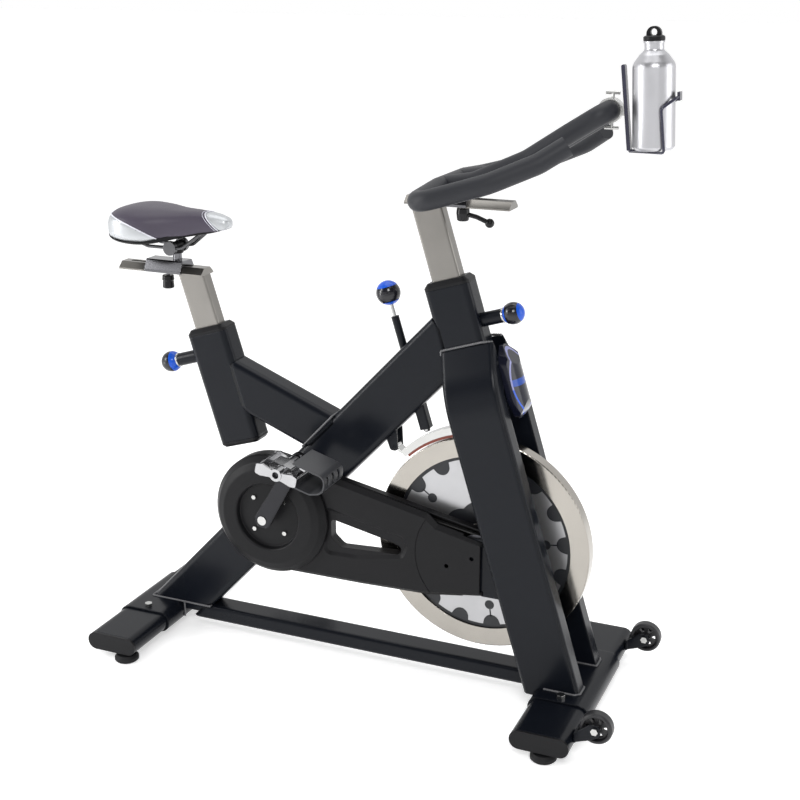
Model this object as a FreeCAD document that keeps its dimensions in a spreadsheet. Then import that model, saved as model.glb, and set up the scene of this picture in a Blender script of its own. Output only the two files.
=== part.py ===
"""Indoor cycling bike: parametric model of every separate piece, in millimetres.

Frame: +Z up, +X forward (towards the handlebar), +Y towards the rider's left.
The origin lies on the floor, in the middle of the bike's bounding box.
"""

import FreeCAD, Part
import math
import os


V = FreeCAD.Vector
Y_AXIS, Z_AXIS = V(0, 1, 0), V(0, 0, 1)
HALF, FULL_TURN = 0.5, 360.0

doc = FreeCAD.newDocument("exercise_bike")
sizes = doc.addObject("Spreadsheet::Sheet", "Sizes")

DRIVING = {
    "post_lean": 17.2,
    "crank_x": -202.6, "crank_z": 330, "crank_length": 170, "crank_angle": 60,
    "flywheel_x": 253, "flywheel_z": 321, "flywheel_radius": 226, "rim_inner": 187, "rim_width": 30,
    "web_width": 17, "face_plate_thickness": 1.5, "hub_radius": 42,
    "tube_width": 58, "tube_corner": 13, "tube_wall": 3,
    "main_depth": 111, "main_angle": 46.9, "main_x": -35.5, "main_z": 512.5,
    "arm_depth": 96, "arm_angle": 22, "arm_x": -190, "arm_z": 550.4,
    "sleeve_depth": 95, "seat_sleeve_x": -361.5, "seat_sleeve_z": 685, "seat_sleeve_length": 239,
    "head_sleeve_x": 177, "head_sleeve_z": 835.7, "head_sleeve_length": 210,
    "sleeve_cap_height": 13, "sleeve_cap_bevel": 8,
    "post_depth": 61, "post_width": 30, "post_corner": 5, "post_wall": 2.5, "post_gap": 0.4,
    "seat_post_length": 271, "bar_post_length": 300,
    "leg_depth": 115.5, "leg_wall": 3, "leg_thickness": 38, "leg_base_x": 447.5, "leg_outer": 85,
    "base_tube_width": 58, "base_tube_height": 34, "base_tube_z": 45,
    "stabiliser_depth": 118, "stabiliser_height": 39, "stabiliser_corner": 19, "stabiliser_z": 38.5,
    "rear_x": -513, "rear_length": 450, "front_x": 457, "front_length": 486,
    "sleeve_wall": 4, "rear_sleeve_length": 196, "front_sleeve_length": 240,
    "foot_radius": 26, "foot_height": 15, "stud_radius": 5,
    "wheel_x": 556, "wheel_z": 73, "wheel_y": 198, "wheel_radius": 32, "wheel_width": 24,
    "belt_y": -38, "belt_width": 9, "drive_pulley_radius": 98, "driven_pulley_radius": 28,
    "guard_back": 29, "guard_parting": 44, "guard_front": 57, "guard_wall": 1.8, "guard_bevel": 9,
    "crank_cover_radius": 131, "recess_radius": 71, "arm_thickness": 15, "arm_centre": 95,
    "spindle_radius": 10, "pedal_spindle_radius": 7, "axle_radius": 6,
    "rail_width": 50, "rail_top_width": 24, "rail_height": 15, "seat_rail_length": 202,
           "bar_rail_length": 213,
    "bar_radius": 18.5, "bottle_radius": 37.5, "bottle_x": 555.5, "bottle_z": 1130.5, "origin_shift": -11.5,
    "brake_rod_radius": 3.5, "ball_radius": 22.5,
}

for row, (alias, value) in enumerate(DRIVING.items(), start=1):
    sizes.set(f"A{row}", alias)
    sizes.set(f"B{row}", str(value))
    sizes.setAlias(f"B{row}", alias)
doc.recompute()


def size(alias):
    """The value of a driving dimension, read back from the spreadsheet."""
    return float(getattr(sizes, alias))


LEAN = math.radians(size("post_lean"))
NODES = []


# ---------------------------------------------------------------- helpers

def drive(item, prop, value):
    """Sets a property to a number, or binds it to the spreadsheet when value is an expression."""
    if isinstance(value, str):
        item.setExpression(prop, value)
    else:
        setattr(item, prop, value)


def keep(item):
    """Marks an object as a sub-part that gets its own file."""
    NODES.append(item)
    return item


def turn_to(axis):
    """The rotation that carries +Z onto axis."""
    return FreeCAD.Rotation(Z_AXIS, V(axis))


def leaning(x, z, y=0.0):
    """The placement of a piece whose own +Z lies along the posts, which lean back at the top."""
    return FreeCAD.Placement(V(x, y, z), FreeCAD.Rotation(Y_AXIS, -size("post_lean")))


def along_lean(x, z, distance):
    """The point a distance up the posts' direction from (x, z)."""
    return x - distance * math.sin(LEAN), z + distance * math.cos(LEAN)


def new_body(name):
    body = doc.addObject("PartDesign::Body", name)
    body.Label = name
    return body


def new_sketch(body, role, curves, name="sketch"):
    """A sketch on one of the body's own origin planes, holding the given closed curves."""
    sketch = body.newObject("Sketcher::SketchObject", f"{body.Name}_{name}")
    plane = next(f for f in body.Origin.OriginFeatures if f.Role == role)
    sketch.AttachmentSupport = (plane, [""])
    sketch.MapMode = "FlatFace"
    if curves:
        sketch.addGeometry(curves, False)
    return sketch


def loop(points):
    """Closed outline of lines, with a tangent arc at each point that has a third value, its radius."""
    count = len(points)
    ends = []
    arcs = []
    for i, point in enumerate(points):
        here = V(point[0], point[1], 0)
        before = V(points[i - 1][0], points[i - 1][1], 0) - here
        after = V(points[(i + 1) % count][0], points[(i + 1) % count][1], 0) - here
        radius = point[2] if len(point) > 2 else 0.0
        if radius <= 0:
            ends.append((here, here))
            arcs.append(None)
            continue
        before.normalize()
        after.normalize()
        half = before.getAngle(after) * HALF
        reach = radius / math.tan(half)
        first, last = here + before * reach, here + after * reach
        bisector = before + after
        bisector.normalize()
        middle = here + bisector * (radius / math.sin(half) - radius)
        ends.append((first, last))
        arcs.append(Part.Arc(first, middle, last))
    curves = []
    for i in range(count):
        if arcs[i] is not None:
            curves.append(arcs[i])
        start, stop = ends[i][1], ends[(i + 1) % count][0]
        if start.distanceToPoint(stop) > 1e-6:
            curves.append(Part.LineSegment(start, stop))
    return curves


def ring(x, y, radius):
    return [Part.Circle(V(x, y, 0), Z_AXIS, radius)]


def box_loop(width, height, corner, x=0.0, y=0.0):
    w, t = width * HALF, height * HALF
    return loop([(x - w, y - t, corner), (x + w, y - t, corner), (x + w, y + t, corner),
                 (x - w, y + t, corner)])


def add_pad(body, sketch, length, side="Symmetric", reverse=False):
    pad = body.newObject("PartDesign::Pad", f"{sketch.Name}_pad")
    pad.Profile = sketch
    pad.SideType = side
    pad.Reversed = reverse
    drive(pad, "Length", length)
    sketch.Visibility = False
    return pad


def add_pocket(body, sketch, length, side="Symmetric", reverse=False):
    pocket = body.newObject("PartDesign::Pocket", f"{sketch.Name}_pocket")
    pocket.Profile = sketch
    pocket.SideType = side
    pocket.Reversed = reverse
    drive(pocket, "Length", length)
    return pocket


def plate(name, curves, length, y=0.0, role="XZ_Plane"):
    """A flat piece: curves drawn in a plane, padded both ways by half of length."""
    body = new_body(name)
    add_pad(body, new_sketch(body, role, curves), length)
    body.Placement.Base = V(0, y, 0)
    return body


def prism(name, curves, length, placement):
    """A straight bar: curves drawn across its own +Z, padded up from its foot."""
    body = new_body(name)
    add_pad(body, new_sketch(body, "XY_Plane", curves), length, side="One side")
    body.Placement = placement
    return body


def turned(name, profile, origin=V(0, 0, 0), axis=Z_AXIS):
    """A turned piece: profile points are (radius, height), revolved about its own +Z."""
    body = new_body(name)
    sketch = new_sketch(body, "XZ_Plane", loop(profile))
    revolution = body.newObject("PartDesign::Revolution", f"{name}_turn")
    revolution.Profile = sketch
    revolution.ReferenceAxis = (sketch, ["V_Axis"])
    revolution.Angle = FULL_TURN
    body.Placement = FreeCAD.Placement(origin, turn_to(axis))
    return body


def rod(name, radius, height, origin, axis=Z_AXIS):
    cylinder = doc.addObject("Part::Cylinder", name)
    drive(cylinder, "Radius", radius)
    drive(cylinder, "Height", height)
    cylinder.Placement = FreeCAD.Placement(V(origin), turn_to(axis))
    return cylinder


def block(name, x, y, z, length, width, height):
    """A box with its low corner at (x, y, z)."""
    box = doc.addObject("Part::Box", name)
    box.Length, box.Width, box.Height = length, width, height
    box.Placement.Base = V(x, y, z)
    return box


def common(name, *items):
    """What all the items share."""
    result = doc.addObject("Part::MultiCommon", name)
    result.Shapes = list(items)
    result.Label = name
    return result


def cut(name, base, *tools):
    """The base without the tools, as one boolean."""
    result = doc.addObject("Part::Cut", name)
    result.Base = base
    if len(tools) > 1:
        fused = doc.addObject("Part::MultiFuse", f"{name}_tools")
        fused.Shapes = list(tools)
        result.Tool = fused
    else:
        result.Tool = tools[0]
    result.Label = name
    return result


def fuse(name, *items):
    result = doc.addObject("Part::MultiFuse", name)
    result.Shapes = list(items)
    result.Label = name
    return result


def group(name, items):
    """Separate solids of the same kind, kept in one file."""
    result = doc.addObject("Part::Compound", name)
    result.Links = list(items)
    result.Label = name
    return result


def bent_path(points):
    """A wire of straight runs with a tangent arc at each inner point that has a bend radius."""
    edges = []
    last = V(*points[0][:3])
    for before, here, after in zip(points, points[1:], points[2:]):
        corner = V(*here[:3])
        back = (V(*before[:3]) - corner).normalize()
        ahead = (V(*after[:3]) - corner).normalize()
        half = back.getAngle(ahead) * HALF
        reach = here[3] / math.tan(half)
        bisector = (back + ahead).normalize()
        first, stop = corner + back * reach, corner + ahead * reach
        middle = corner + bisector * (here[3] / math.sin(half) - here[3])
        if last.distanceToPoint(first) > 1e-6:
            edges.append(Part.LineSegment(last, first).toShape())
        edges.append(Part.Arc(first, middle, stop).toShape())
        last = stop
    edges.append(Part.LineSegment(last, V(*points[-1][:3])).toShape())
    return Part.Wire(edges)


def bent_rod(name, points, radius):
    """Round bar bent along a path that leaves any one plane, which no body feature sweeps cleanly."""
    path = bent_path(points)
    start = V(*points[0][:3])
    direction = (V(*points[1][:3]) - start).normalize()
    section = Part.Wire(Part.Circle(start, direction, radius).toShape())
    feature = doc.addObject("Part::Feature", name)
    feature.Shape = path.makePipeShell([section], True, True)
    return feature


def hex_bolt(name, across_flats, head, shank_radius, shank, origin, axis):
    """A hex head with its shank behind it; axis points out of the head."""
    corner = across_flats * HALF / math.cos(math.radians(30))
    points = [(corner * math.cos(math.radians(60 * i)),
               corner * math.sin(math.radians(60 * i))) for i in range(6)]
    body = new_body(name)
    add_pad(body, new_sketch(body, "XY_Plane", loop(points)), head, side="One side")
    shank_sketch = new_sketch(body, "XY_Plane", ring(0, 0, shank_radius), "shank")
    add_pad(body, shank_sketch, shank, side="One side", reverse=True)
    body.Placement = FreeCAD.Placement(V(origin), turn_to(axis))
    return body


# ---------------------------------------------------------------- envelopes that the welded tubes are coped to

def tube_pair(name, depth, corner, length, placement, width="tube_width"):
    """A solid envelope and the hollow tube inside it."""
    outer = box_loop(size(depth), size(width), size(corner))
    wall = size("tube_wall")
    inner = box_loop(size(depth) - 2 * wall, size(width) - 2 * wall, size(corner) - wall)
    envelope = prism(f"{name}_envelope", outer, length, placement)
    hollow = prism(f"{name}_hollow", outer + inner, length, placement)
    return envelope, hollow


def sloping(x, z, angle, start):
    """Placement of a tube in the bike's middle plane that rises forward at an angle, starting behind (x, z)."""
    rise = math.radians(angle)
    base = V(x + start * math.cos(rise), 0, z + start * math.sin(rise))
    return FreeCAD.Placement(base, FreeCAD.Rotation(Y_AXIS, 90 - angle))


# ---------------------------------------------------------------- base: stabilisers, sleeves, feet

def stabiliser_set():
    depth, height, corner = size("stabiliser_depth"), size("stabiliser_height"), size("stabiliser_corner")
    wall, wrap = size("tube_wall"), size("sleeve_wall")
    outer = box_loop(depth, height, corner)
    inner = box_loop(depth - 2 * wall, height - 2 * wall, corner - wall)
    wrapped = box_loop(depth + 2 * wrap, height + 2 * wrap, corner + wrap)
    tubes, sleeves, envelopes, caps = [], [], [], []
    for end in ("rear", "front"):
        x, z = size(f"{end}_x"), size("stabiliser_z")
        tube = plate(f"{end}_stabiliser_tube", outer + inner, f"Sizes.{end}_length")
        tube.Placement.Base = V(x, 0, z)
        foot_y = size(f"{end}_length") * HALF - FOOT_INSET
        stud_gap = size("stud_radius") + STUD_CLEARANCE
        holes = [rod(f"{end}_stud_hole_{side}", stud_gap, z, (x + FOOT_SHIFT[end], side * foot_y, -1))
                 for side in (-1, 1)]
        tubes.append(cut(f"{end}_stabiliser", tube, *holes))
        sleeve = plate(f"{end}_sleeve", wrapped + outer, f"Sizes.{end}_sleeve_length")
        sleeve.Placement.Base = V(x, 0, z)
        bolt_holes = [rod(f"{end}_sleeve_bolt_hole_{side}", 4, 30,
                          (x, side * BOLT_REACH[end], z + height * HALF), Z_AXIS)
                      for side in (-1, 1)]
        sleeves.append(cut(f"{end}_sleeve_drilled", sleeve, *bolt_holes))
        envelope = plate(f"{end}_sleeve_envelope", wrapped, f"Sizes.{end}_sleeve_length")
        envelope.Placement.Base = V(x, 0, z)
        envelopes.append(envelope)
        for side in (-1, 1):
            cap = new_body(f"{end}_cap_{side}")
            flange = new_sketch(cap, "XZ_Plane", outer, "flange")
            add_pad(cap, flange, CAP_FLANGE, side="One side", reverse=side > 0)
            plug = new_sketch(cap, "XZ_Plane", box_loop(depth - 2 * wall, height - 2 * wall, corner - wall),
                              "plug")
            add_pad(cap, plug, CAP_PLUG, side="One side", reverse=side < 0)
            cap.Placement.Base = V(x, side * size(f"{end}_length") * HALF, z)
            caps.append(cap)
    keep(group("stabilisers", tubes))
    keep(group("stabiliser_sleeves", sleeves))
    keep(group("stabiliser_end_caps", caps))
    return envelopes


FOOT_INSET = 13
STUD_CLEARANCE = 0.3
FOOT_SHIFT = {"rear": 27, "front": 6}
CAP_FLANGE, CAP_PLUG = 4, 7
BOLT_REACH = {"rear": 79, "front": 102}


def levelling_feet():
    """A rubber pad moulded on a threaded stud, one at each corner."""
    radius, height, stud = size("foot_radius"), size("foot_height"), size("stud_radius")
    gap_under_tube = size("stabiliser_z") - size("stabiliser_height") * HALF - 0.3
    profile = [(0, 0), (radius - 3, 0), (radius, 3), (radius, height - 6, 2), (radius - 5, height, 2),
               (stud + 4, height), (stud + 4, gap_under_tube), (stud, gap_under_tube), (stud, 52), (0, 52)]
    for end in ("rear", "front"):
        foot_y = size(f"{end}_length") * HALF - FOOT_INSET
        for side, hand in ((-1, "right"), (1, "left")):
            keep(turned(f"foot_{end}_{hand}", profile, V(size(f"{end}_x") + FOOT_SHIFT[end], side * foot_y,
                                                         0)))


def transport_wheels():
    """Two spoked wheels, each in a fork bolted to the front stabiliser's nose."""
    radius, half = size("wheel_radius"), size("wheel_width") * HALF
    x, z = size("wheel_x"), size("wheel_z")
    nose = size("front_x") + size("stabiliser_depth") * HALF
    brackets = []
    for side, hand in ((-1, "right"), (1, "left")):
        y = side * size("wheel_y")
        hub, web, bore = 9, 4, WHEEL_BOLT + 0.3
        profile = [(bore, -half), (hub, -half), (hub, -web), (radius - 9, -web), (radius - 7, -half + 1),
                   (radius - 3, -half, 2),
                   (radius, -half + 4, 3), (radius, half - 4, 3), (radius - 3, half, 2),
                   (radius - 7, half - 1), (radius - 9, web),
                   (hub, web), (hub, half), (bore, half)]
        wheel = turned(f"transport_wheel_{hand}", profile, V(x, y, z), Y_AXIS)
        window = new_sketch(wheel, "XY_Plane", loop([(11.5, -2.6, 1.5), (20.5, -5.5, 1.5), (20.5, 5.5, 1.5),
                                                     (11.5, 2.6, 1.5)]), "window")
        pocket = add_pocket(wheel, window, 6 * web)
        spokes = wheel.newObject("PartDesign::PolarPattern", f"{wheel.Name}_spokes")
        spokes.Originals = [pocket]
        spokes.Axis = (next(f for f in wheel.Origin.OriginFeatures if f.Role == "Z_Axis"), [""])
        spokes.Angle = FULL_TURN
        spokes.Occurrences = 6
        wheel.Tip = spokes
        keep(wheel)
        tip = 11
        arm = loop([(nose + 0.2, z - 33, 4), (x - 4, z - 20, 8), (x + tip, z - tip, tip - 1),
                    (x + tip, z + tip, tip - 1),
                    (x - tip, z + tip, tip - 1), (nose + 0.2, z - 13, 4)])
        fork = fuse(f"wheel_fork_{hand}",
                    plate(f"fork_in_{hand}", arm, BRACKET, y - side * (half + 3.5)),
                    plate(f"fork_out_{hand}", arm, BRACKET, y + side * (half + 3.5)),
                    plate(f"fork_foot_{hand}", loop([(nose + 0.2, z - 33), (nose + 4.2, z - 33),
                                                     (nose + 4.2, z - 13), (nose + 0.2, z - 13)]),
                          size("wheel_width") + 12, y))
        bolt_hole = rod(f"fork_bore_{hand}", WHEEL_BOLT, 80, (x, y - 40, z), Y_AXIS)
        brackets.append(cut(f"wheel_bracket_{hand}", fork, bolt_hole))
    keep(group("wheel_brackets", brackets))


WHEEL_BOLT, BRACKET = 4, 3


# ---------------------------------------------------------------- frame tubes

def frame(sleeve_envelopes):
    seat_x, seat_z = along_lean(size("seat_sleeve_x"), size("seat_sleeve_z"), -SEAT_SLEEVE_BELOW)
    head_x, head_z = along_lean(size("head_sleeve_x"), size("head_sleeve_z"), -HEAD_SLEEVE_BELOW)
    seat_env, seat_tube = tube_pair("seat_sleeve", "sleeve_depth", "tube_corner", "Sizes.seat_sleeve_length",
                                    leaning(seat_x, seat_z))
    head_env, head_tube = tube_pair("head_sleeve", "sleeve_depth", "tube_corner", "Sizes.head_sleeve_length",
                                    leaning(head_x, head_z))
    main_env, main_tube = tube_pair("main", "main_depth", "tube_corner", 1000,
                                    sloping(size("main_x"), size("main_z"), size("main_angle"), -680))
    arm_env, arm_tube = tube_pair("arm", "arm_depth", "tube_corner", 460,
                                  sloping(size("arm_x"), size("arm_z"), -size("arm_angle"), -230))
    shell_hole = rod("shell_hole", SHELL_RADIUS, 120, (size("crank_x"), -60, size("crank_z")), Y_AXIS)
    brake_x, brake_z = along_lean(BRAKE_X, BRAKE_Z, -400)
    brake_hole = prism("brake_hole", ring(0, 0, GUIDE_RADIUS), 500, leaning(brake_x, brake_z))
    square_hole = prism("square_hole", box_loop(22, 22, 3), 110,
                        leaning(*along_lean(BRAKE_X, BRAKE_Z, HOUSING_FOOT)))
    floor_box = block("below_main_tube", -900, -100, -400 + SLEEVE_TOP - 16, 900, 200, 400)
    beyond_head = block("beyond_head", 0, 0, 0, 600, 200, 900)
    beyond_head.Placement = leaning(*along_lean(size("head_sleeve_x"), size("head_sleeve_z"), -600), y=-100)
    pin_seat = rod("pin_seat_hole", PIN_BORE, 80, pin_origin("seat"), pin_axis("seat"))
    pin_head = rod("pin_head_hole", PIN_BORE, 80, pin_origin("head"), pin_axis("head"))
    cheeks, pin = brake()
    bare_tube = cut("main_tube_coped", main_tube, head_env, beyond_head, floor_box, sleeve_envelopes[0],
                    shell_hole,
                    brake_hole, square_hole)
    welded = [cut(f"{cheek.Name}_coped", cheek, main_env) for cheek in cheeks]
    keep(fuse("main_tube", bare_tube, pin, *welded))
    behind_seat = block("behind_seat", 0, 0, 0, 400, 200, 900)
    back = leaning(*along_lean(size("seat_sleeve_x"), size("seat_sleeve_z"), -500), y=-100)
    back.Base = back.Base - V(400 * math.cos(LEAN), 0, 400 * math.sin(LEAN))
    behind_seat.Placement = back
    keep(cut("seat_arm", arm_tube, seat_env, behind_seat, main_env, below_main_line()))
    keep(cut("seat_sleeve", seat_tube, pin_seat))
    keep(cut("head_sleeve", head_tube, pin_head))
    base = new_body("base_tube_stock")
    outer = box_loop(size("base_tube_width"), size("base_tube_height"), 8)
    inner = box_loop(size("base_tube_width") - 5, size("base_tube_height") - 5, 5.5)
    add_pad(base, new_sketch(base, "YZ_Plane", outer + inner), size("front_x") - size("rear_x"),
            side="One side")
    base.Placement.Base = V(size("rear_x"), 0, size("base_tube_z"))
    keep(cut("base_tube", base, sleeve_envelopes[0], sleeve_envelopes[1], main_env))
    keep(rod_shell())
    return head_env


SEAT_SLEEVE_BELOW = 225
HEAD_SLEEVE_BELOW = 196
SHELL_RADIUS, SHELL_BORE = 22, 17
SLEEVE_TOP = 62
BRAKE_X, BRAKE_Z = 41.9, 820.2
GUIDE_RADIUS = 8
HOUSING_FOOT = -285
PIN_BORE = 9


def below_main_line():
    """Everything on the front side of the main tube's middle plane."""
    box = block("front_of_main", 0, 0, 0, 500, 200, 1200)
    place = sloping(size("main_x"), size("main_z"), size("main_angle"), -600)
    place.Base = place.Base + V(0, -100, 0)
    box.Placement = place
    return box


def rod_shell():
    """Bottom bracket shell: a bored tube through the main tube."""
    outer = rod("bb_outer", SHELL_RADIUS, 66, (size("crank_x"), -30, size("crank_z")), Y_AXIS)
    inner = rod("bb_inner", SHELL_BORE, 70, (size("crank_x"), -32, size("crank_z")), Y_AXIS)
    return cut("bottom_bracket_shell", outer, inner)


def fork_legs(head_env, front_env):
    """Two legs either side of the flywheel, bent in at the shoulders to meet the head sleeve."""
    outer, thick = size("leg_outer"), size("leg_thickness")
    inner, weld = outer - thick, size("tube_width") * HALF
    x, z = size("flywheel_x"), size("flywheel_z")
    below = block("below_legs", 300, -150, -200 + LEG_FOOT, 400, 300, 200)
    axle = rod("axle_hole", size("axle_radius"), 200, (x, -100, z), Y_AXIS)
    finished = []
    for side, hand in ((-1, "right"), (1, "left")):
        points = [(side * outer, 30), (side * outer, 684, LEG_BEND), (side * (weld + 5), 770), (side * weld, 770),
                  (side * weld, 700), (side * inner, 668, 30), (side * inner, 30)]
        leg = new_body(f"fork_leg_{hand}_stock")
        pad = add_pad(leg, new_sketch(leg, "YZ_Plane", loop(points)), "Sizes.leg_depth")
        doc.recompute()
        rounded = leg.newObject("PartDesign::Fillet", f"{leg.Name}_edges")
        rounded.Base = (pad, outer_edges(pad.Shape, side * (outer - 1)))
        rounded.Radius = LEG_ROUNDING
        leg.Placement = leaning(size("leg_base_x"), 0)
        outline = loop([(x - 22, z - 22, 20), (266, 222, 6), (350, 222), (322, 345), (290, 352, 6),
                        (x - 22, z + 20, 18)])
        bracket = plate(f"axle_bracket_{hand}", outline, BRACKET_PLATE, side * inner)
        whole = fuse(f"fork_leg_{hand}_whole", leg, bracket)
        wall = size("leg_wall")
        hollow = [(side * (outer - wall), 20), (side * (outer - wall), 683, LEG_BEND - wall),
                  (side * (weld + wall + 5), 756),
                  (side * (weld + wall), 756), (side * (weld + wall), 702),
                  (side * (inner + wall), 670, 28), (side * (inner + wall), 20)]
        core = new_body(f"fork_leg_{hand}_core")
        add_pad(core, new_sketch(core, "YZ_Plane", loop(hollow)), size("leg_depth") - 2 * wall)
        core.Placement = leaning(size("leg_base_x"), 0)
        finished.append(cut(f"fork_leg_{hand}", whole, core, below, front_env, axle, head_env))
    keep(group("fork_legs", finished))


BRACKET_PLATE, LEG_ROUNDING, LEG_BEND = 5, 10, 170
LEG_FOOT = 44


def outer_edges(shape, reach):
    """Names of the long straight edges on a leg's outer side, where its corners are rounded."""
    names = []
    for i, edge in enumerate(shape.Edges, start=1):
        box = edge.BoundBox
        beyond = box.YMin < reach if reach < 0 else box.YMax > reach
        if box.XLength < 1e-3 and beyond and edge.Length > 20:
            names.append(f"Edge{i}")
    return names


# ---------------------------------------------------------------- sleeve caps and pop pins

def sleeve_caps():
    """Plastic collars that guide the posts, and the plug under the seat sleeve."""
    depth, width, corner = size("sleeve_depth"), size("tube_width"), size("tube_corner")
    gap = 2 * size("post_gap")
    height, bevel, wall = size("sleeve_cap_height"), size("sleeve_cap_bevel"), size("tube_wall")
    hole = box_loop(size("post_depth") + gap, size("post_width") + gap,
                    size("post_corner") + size("post_gap"))
    items = []
    tops = {"seat": along_lean(size("seat_sleeve_x"), size("seat_sleeve_z"),
                               size("seat_sleeve_length") - SEAT_SLEEVE_BELOW),
            "head": along_lean(size("head_sleeve_x"), size("head_sleeve_z"),
                               size("head_sleeve_length") - HEAD_SLEEVE_BELOW)}
    for name, top in tops.items():
        body = new_body(f"{name}_sleeve_cap")
        pad = add_pad(body, new_sketch(body, "XY_Plane", box_loop(depth, width, corner)), height,
                      side="One side")
        doc.recompute()
        chamfer = body.newObject("PartDesign::Chamfer", f"{body.Name}_bevel")
        chamfer.Base = (pad, [top_face(pad.Shape)])
        chamfer.Size = bevel
        skirt = new_sketch(body, "XY_Plane", box_loop(depth - 2 * wall - 0.2, width - 2 * wall - 0.2,
                                                      corner - wall), "skirt")
        add_pad(body, skirt, CAP_SKIRT, side="One side", reverse=True)
        add_pocket(body, new_sketch(body, "XY_Plane", hole, "opening"), 200)
        body.Placement = leaning(*top)
        items.append(body)
    plug = new_body("seat_sleeve_plug")
    pad = add_pad(plug, new_sketch(plug, "XY_Plane", box_loop(depth, width, corner)), 10, side="One side",
                  reverse=True)
    doc.recompute()
    chamfer = plug.newObject("PartDesign::Chamfer", "plug_bevel")
    chamfer.Base = (pad, [bottom_face(pad.Shape)])
    chamfer.Size = bevel - 2
    inner = new_sketch(plug, "XY_Plane", box_loop(depth - 2 * wall, width - 2 * wall, corner - wall),
                       "inner")
    add_pad(plug, inner, 12, side="One side")
    plug.Placement = leaning(*along_lean(size("seat_sleeve_x"), size("seat_sleeve_z"), -SEAT_SLEEVE_BELOW))
    items.append(plug)
    keep(group("sleeve_caps", items))


CAP_SKIRT = 28


def extreme_face(shape, pick):
    faces = [(face.CenterOfMass.z, i) for i, face in enumerate(shape.Faces, start=1)]
    return f"Face{pick(faces)[1]}"


def top_face(shape):
    return extreme_face(shape, max)


def bottom_face(shape):
    return extreme_face(shape, min)


PIN_PLACES = {"seat": (-31, -1, 57, 22.5), "head": (-66.5, 1, 46, 22)}


def pin_axis(which):
    """Direction out of the sleeve, across the lean."""
    return V(PIN_PLACES[which][1] * math.cos(LEAN), 0, PIN_PLACES[which][1] * math.sin(LEAN))


def pin_origin(which):
    """The point on the sleeve's axis that a pop pin aims at."""
    x, z = along_lean(size(f"{which}_sleeve_x"), size(f"{which}_sleeve_z"), PIN_PLACES[which][0])
    return V(x, 0, z)


def pop_pins():
    """Spring pins that lock the posts: a stub welded on the sleeve, and a pull knob with its pin."""
    stubs = []
    face = size("sleeve_depth") * HALF
    for which, label in (("seat", "seat_pop_pin"), ("head", "bar_pop_pin")):
        reach, ball = PIN_PLACES[which][2:]
        stub = turned(f"{which}_pin_stub", [(6.3, face - 2.9), (9, face - 2.9), (9, face), (14, face),
                                            (14, face + reach - 2),
                                            (12, face + reach), (6.3, face + reach)], pin_origin(which),
                      pin_axis(which))
        stubs.append(stub)
        tip = size("post_depth") * HALF + 0.3
        knob = face + reach + 2
        centre = knob + ball * 0.72
        profile = [(0, tip), (6, tip), (6, knob - 1), (8, knob - 1), (8, knob), (11, knob)]
        profile += [(across, centre + along) for across, along in dome(ball, -52, 62)]
        keep(turned(label, profile, pin_origin(which), pin_axis(which)))
    keep(group("pin_stubs", stubs))


# ---------------------------------------------------------------- flywheel and drive

def flywheel():
    x, z = size("flywheel_x"), size("flywheel_z")
    radius, rim, half = size("flywheel_radius"), size("rim_inner"), size("rim_width") * HALF
    web, hub, plate_thick = size("web_width") * HALF, size("hub_radius"), size("face_plate_thickness")
    bore = BEARING_OUTER + 0.05
    keep(turned("flywheel", [(bore, -half), (hub, -half), (hub, -web), (rim, -web), (rim, -half, 0.5),
                             (radius, -half, 2),
                             (radius, half, 2), (rim, half, 0.5), (rim, web), (hub, web), (hub, half),
                             (bore, half)],
                V(x, 0, z), Y_AXIS))
    plates = []
    for side, hand in ((-1, "right"), (1, "left")):
        inner, outer = web, web + plate_thick
        profile = [(hub, side * inner), (rim, side * inner), (rim, side * outer), (hub, side * outer)]
        plates.append(turned(f"face_plate_{hand}", profile, V(x, 0, z), Y_AXIS))
    keep(group("flywheel_face_plates", plates))
    belt, width = size("belt_y"), size("belt_width") * HALF
    groove = size("driven_pulley_radius")
    sleeve = [(size("axle_radius") + 0.4, belt - width - 1), (groove + 3, belt - width - 1),
              (groove + 3, belt - width - 0.2),
              (groove, belt - width - 0.2), (groove, belt + width + 0.2), (groove + 3, belt + width + 0.2),
              (groove + 3, belt + width + 1), (24, belt + width + 1), (24, -half),
              (size("axle_radius") + 0.4, -half)]
    keep(turned("flywheel_pulley", sleeve, V(x, 0, z), Y_AXIS))
    axle = size("axle_radius")
    keep(rod("flywheel_axle", "Sizes.axle_radius", 2 * AXLE_HALF, (x, -AXLE_HALF, z), Y_AXIS))
    bearings = []
    for side in (-1, 1):
        y = side * (half - 1)
        bearings.append(bearing(f"flywheel_bearing_{side}", axle, BEARING_OUTER, y - side * 7, x, z, side))
        bb_y = 3 + side * 24
        bearings.append(bearing(f"crank_bearing_{side}", size("spindle_radius") + 0.05, SHELL_BORE, bb_y,
                                size("crank_x"),
                                size("crank_z"), side))
    keep(group("bearings", bearings))


BEARING_OUTER, BEARING_WIDTH, AXLE_HALF = 20, 7, 54.5


def bearing(name, inner, outer, y, x, z, side):
    start = y if side > 0 else y - BEARING_WIDTH
    return turned(name, [(inner, start), (outer, start), (outer, start + BEARING_WIDTH),
                         (inner, start + BEARING_WIDTH)],
                  V(x, 0, z), Y_AXIS)


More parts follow.
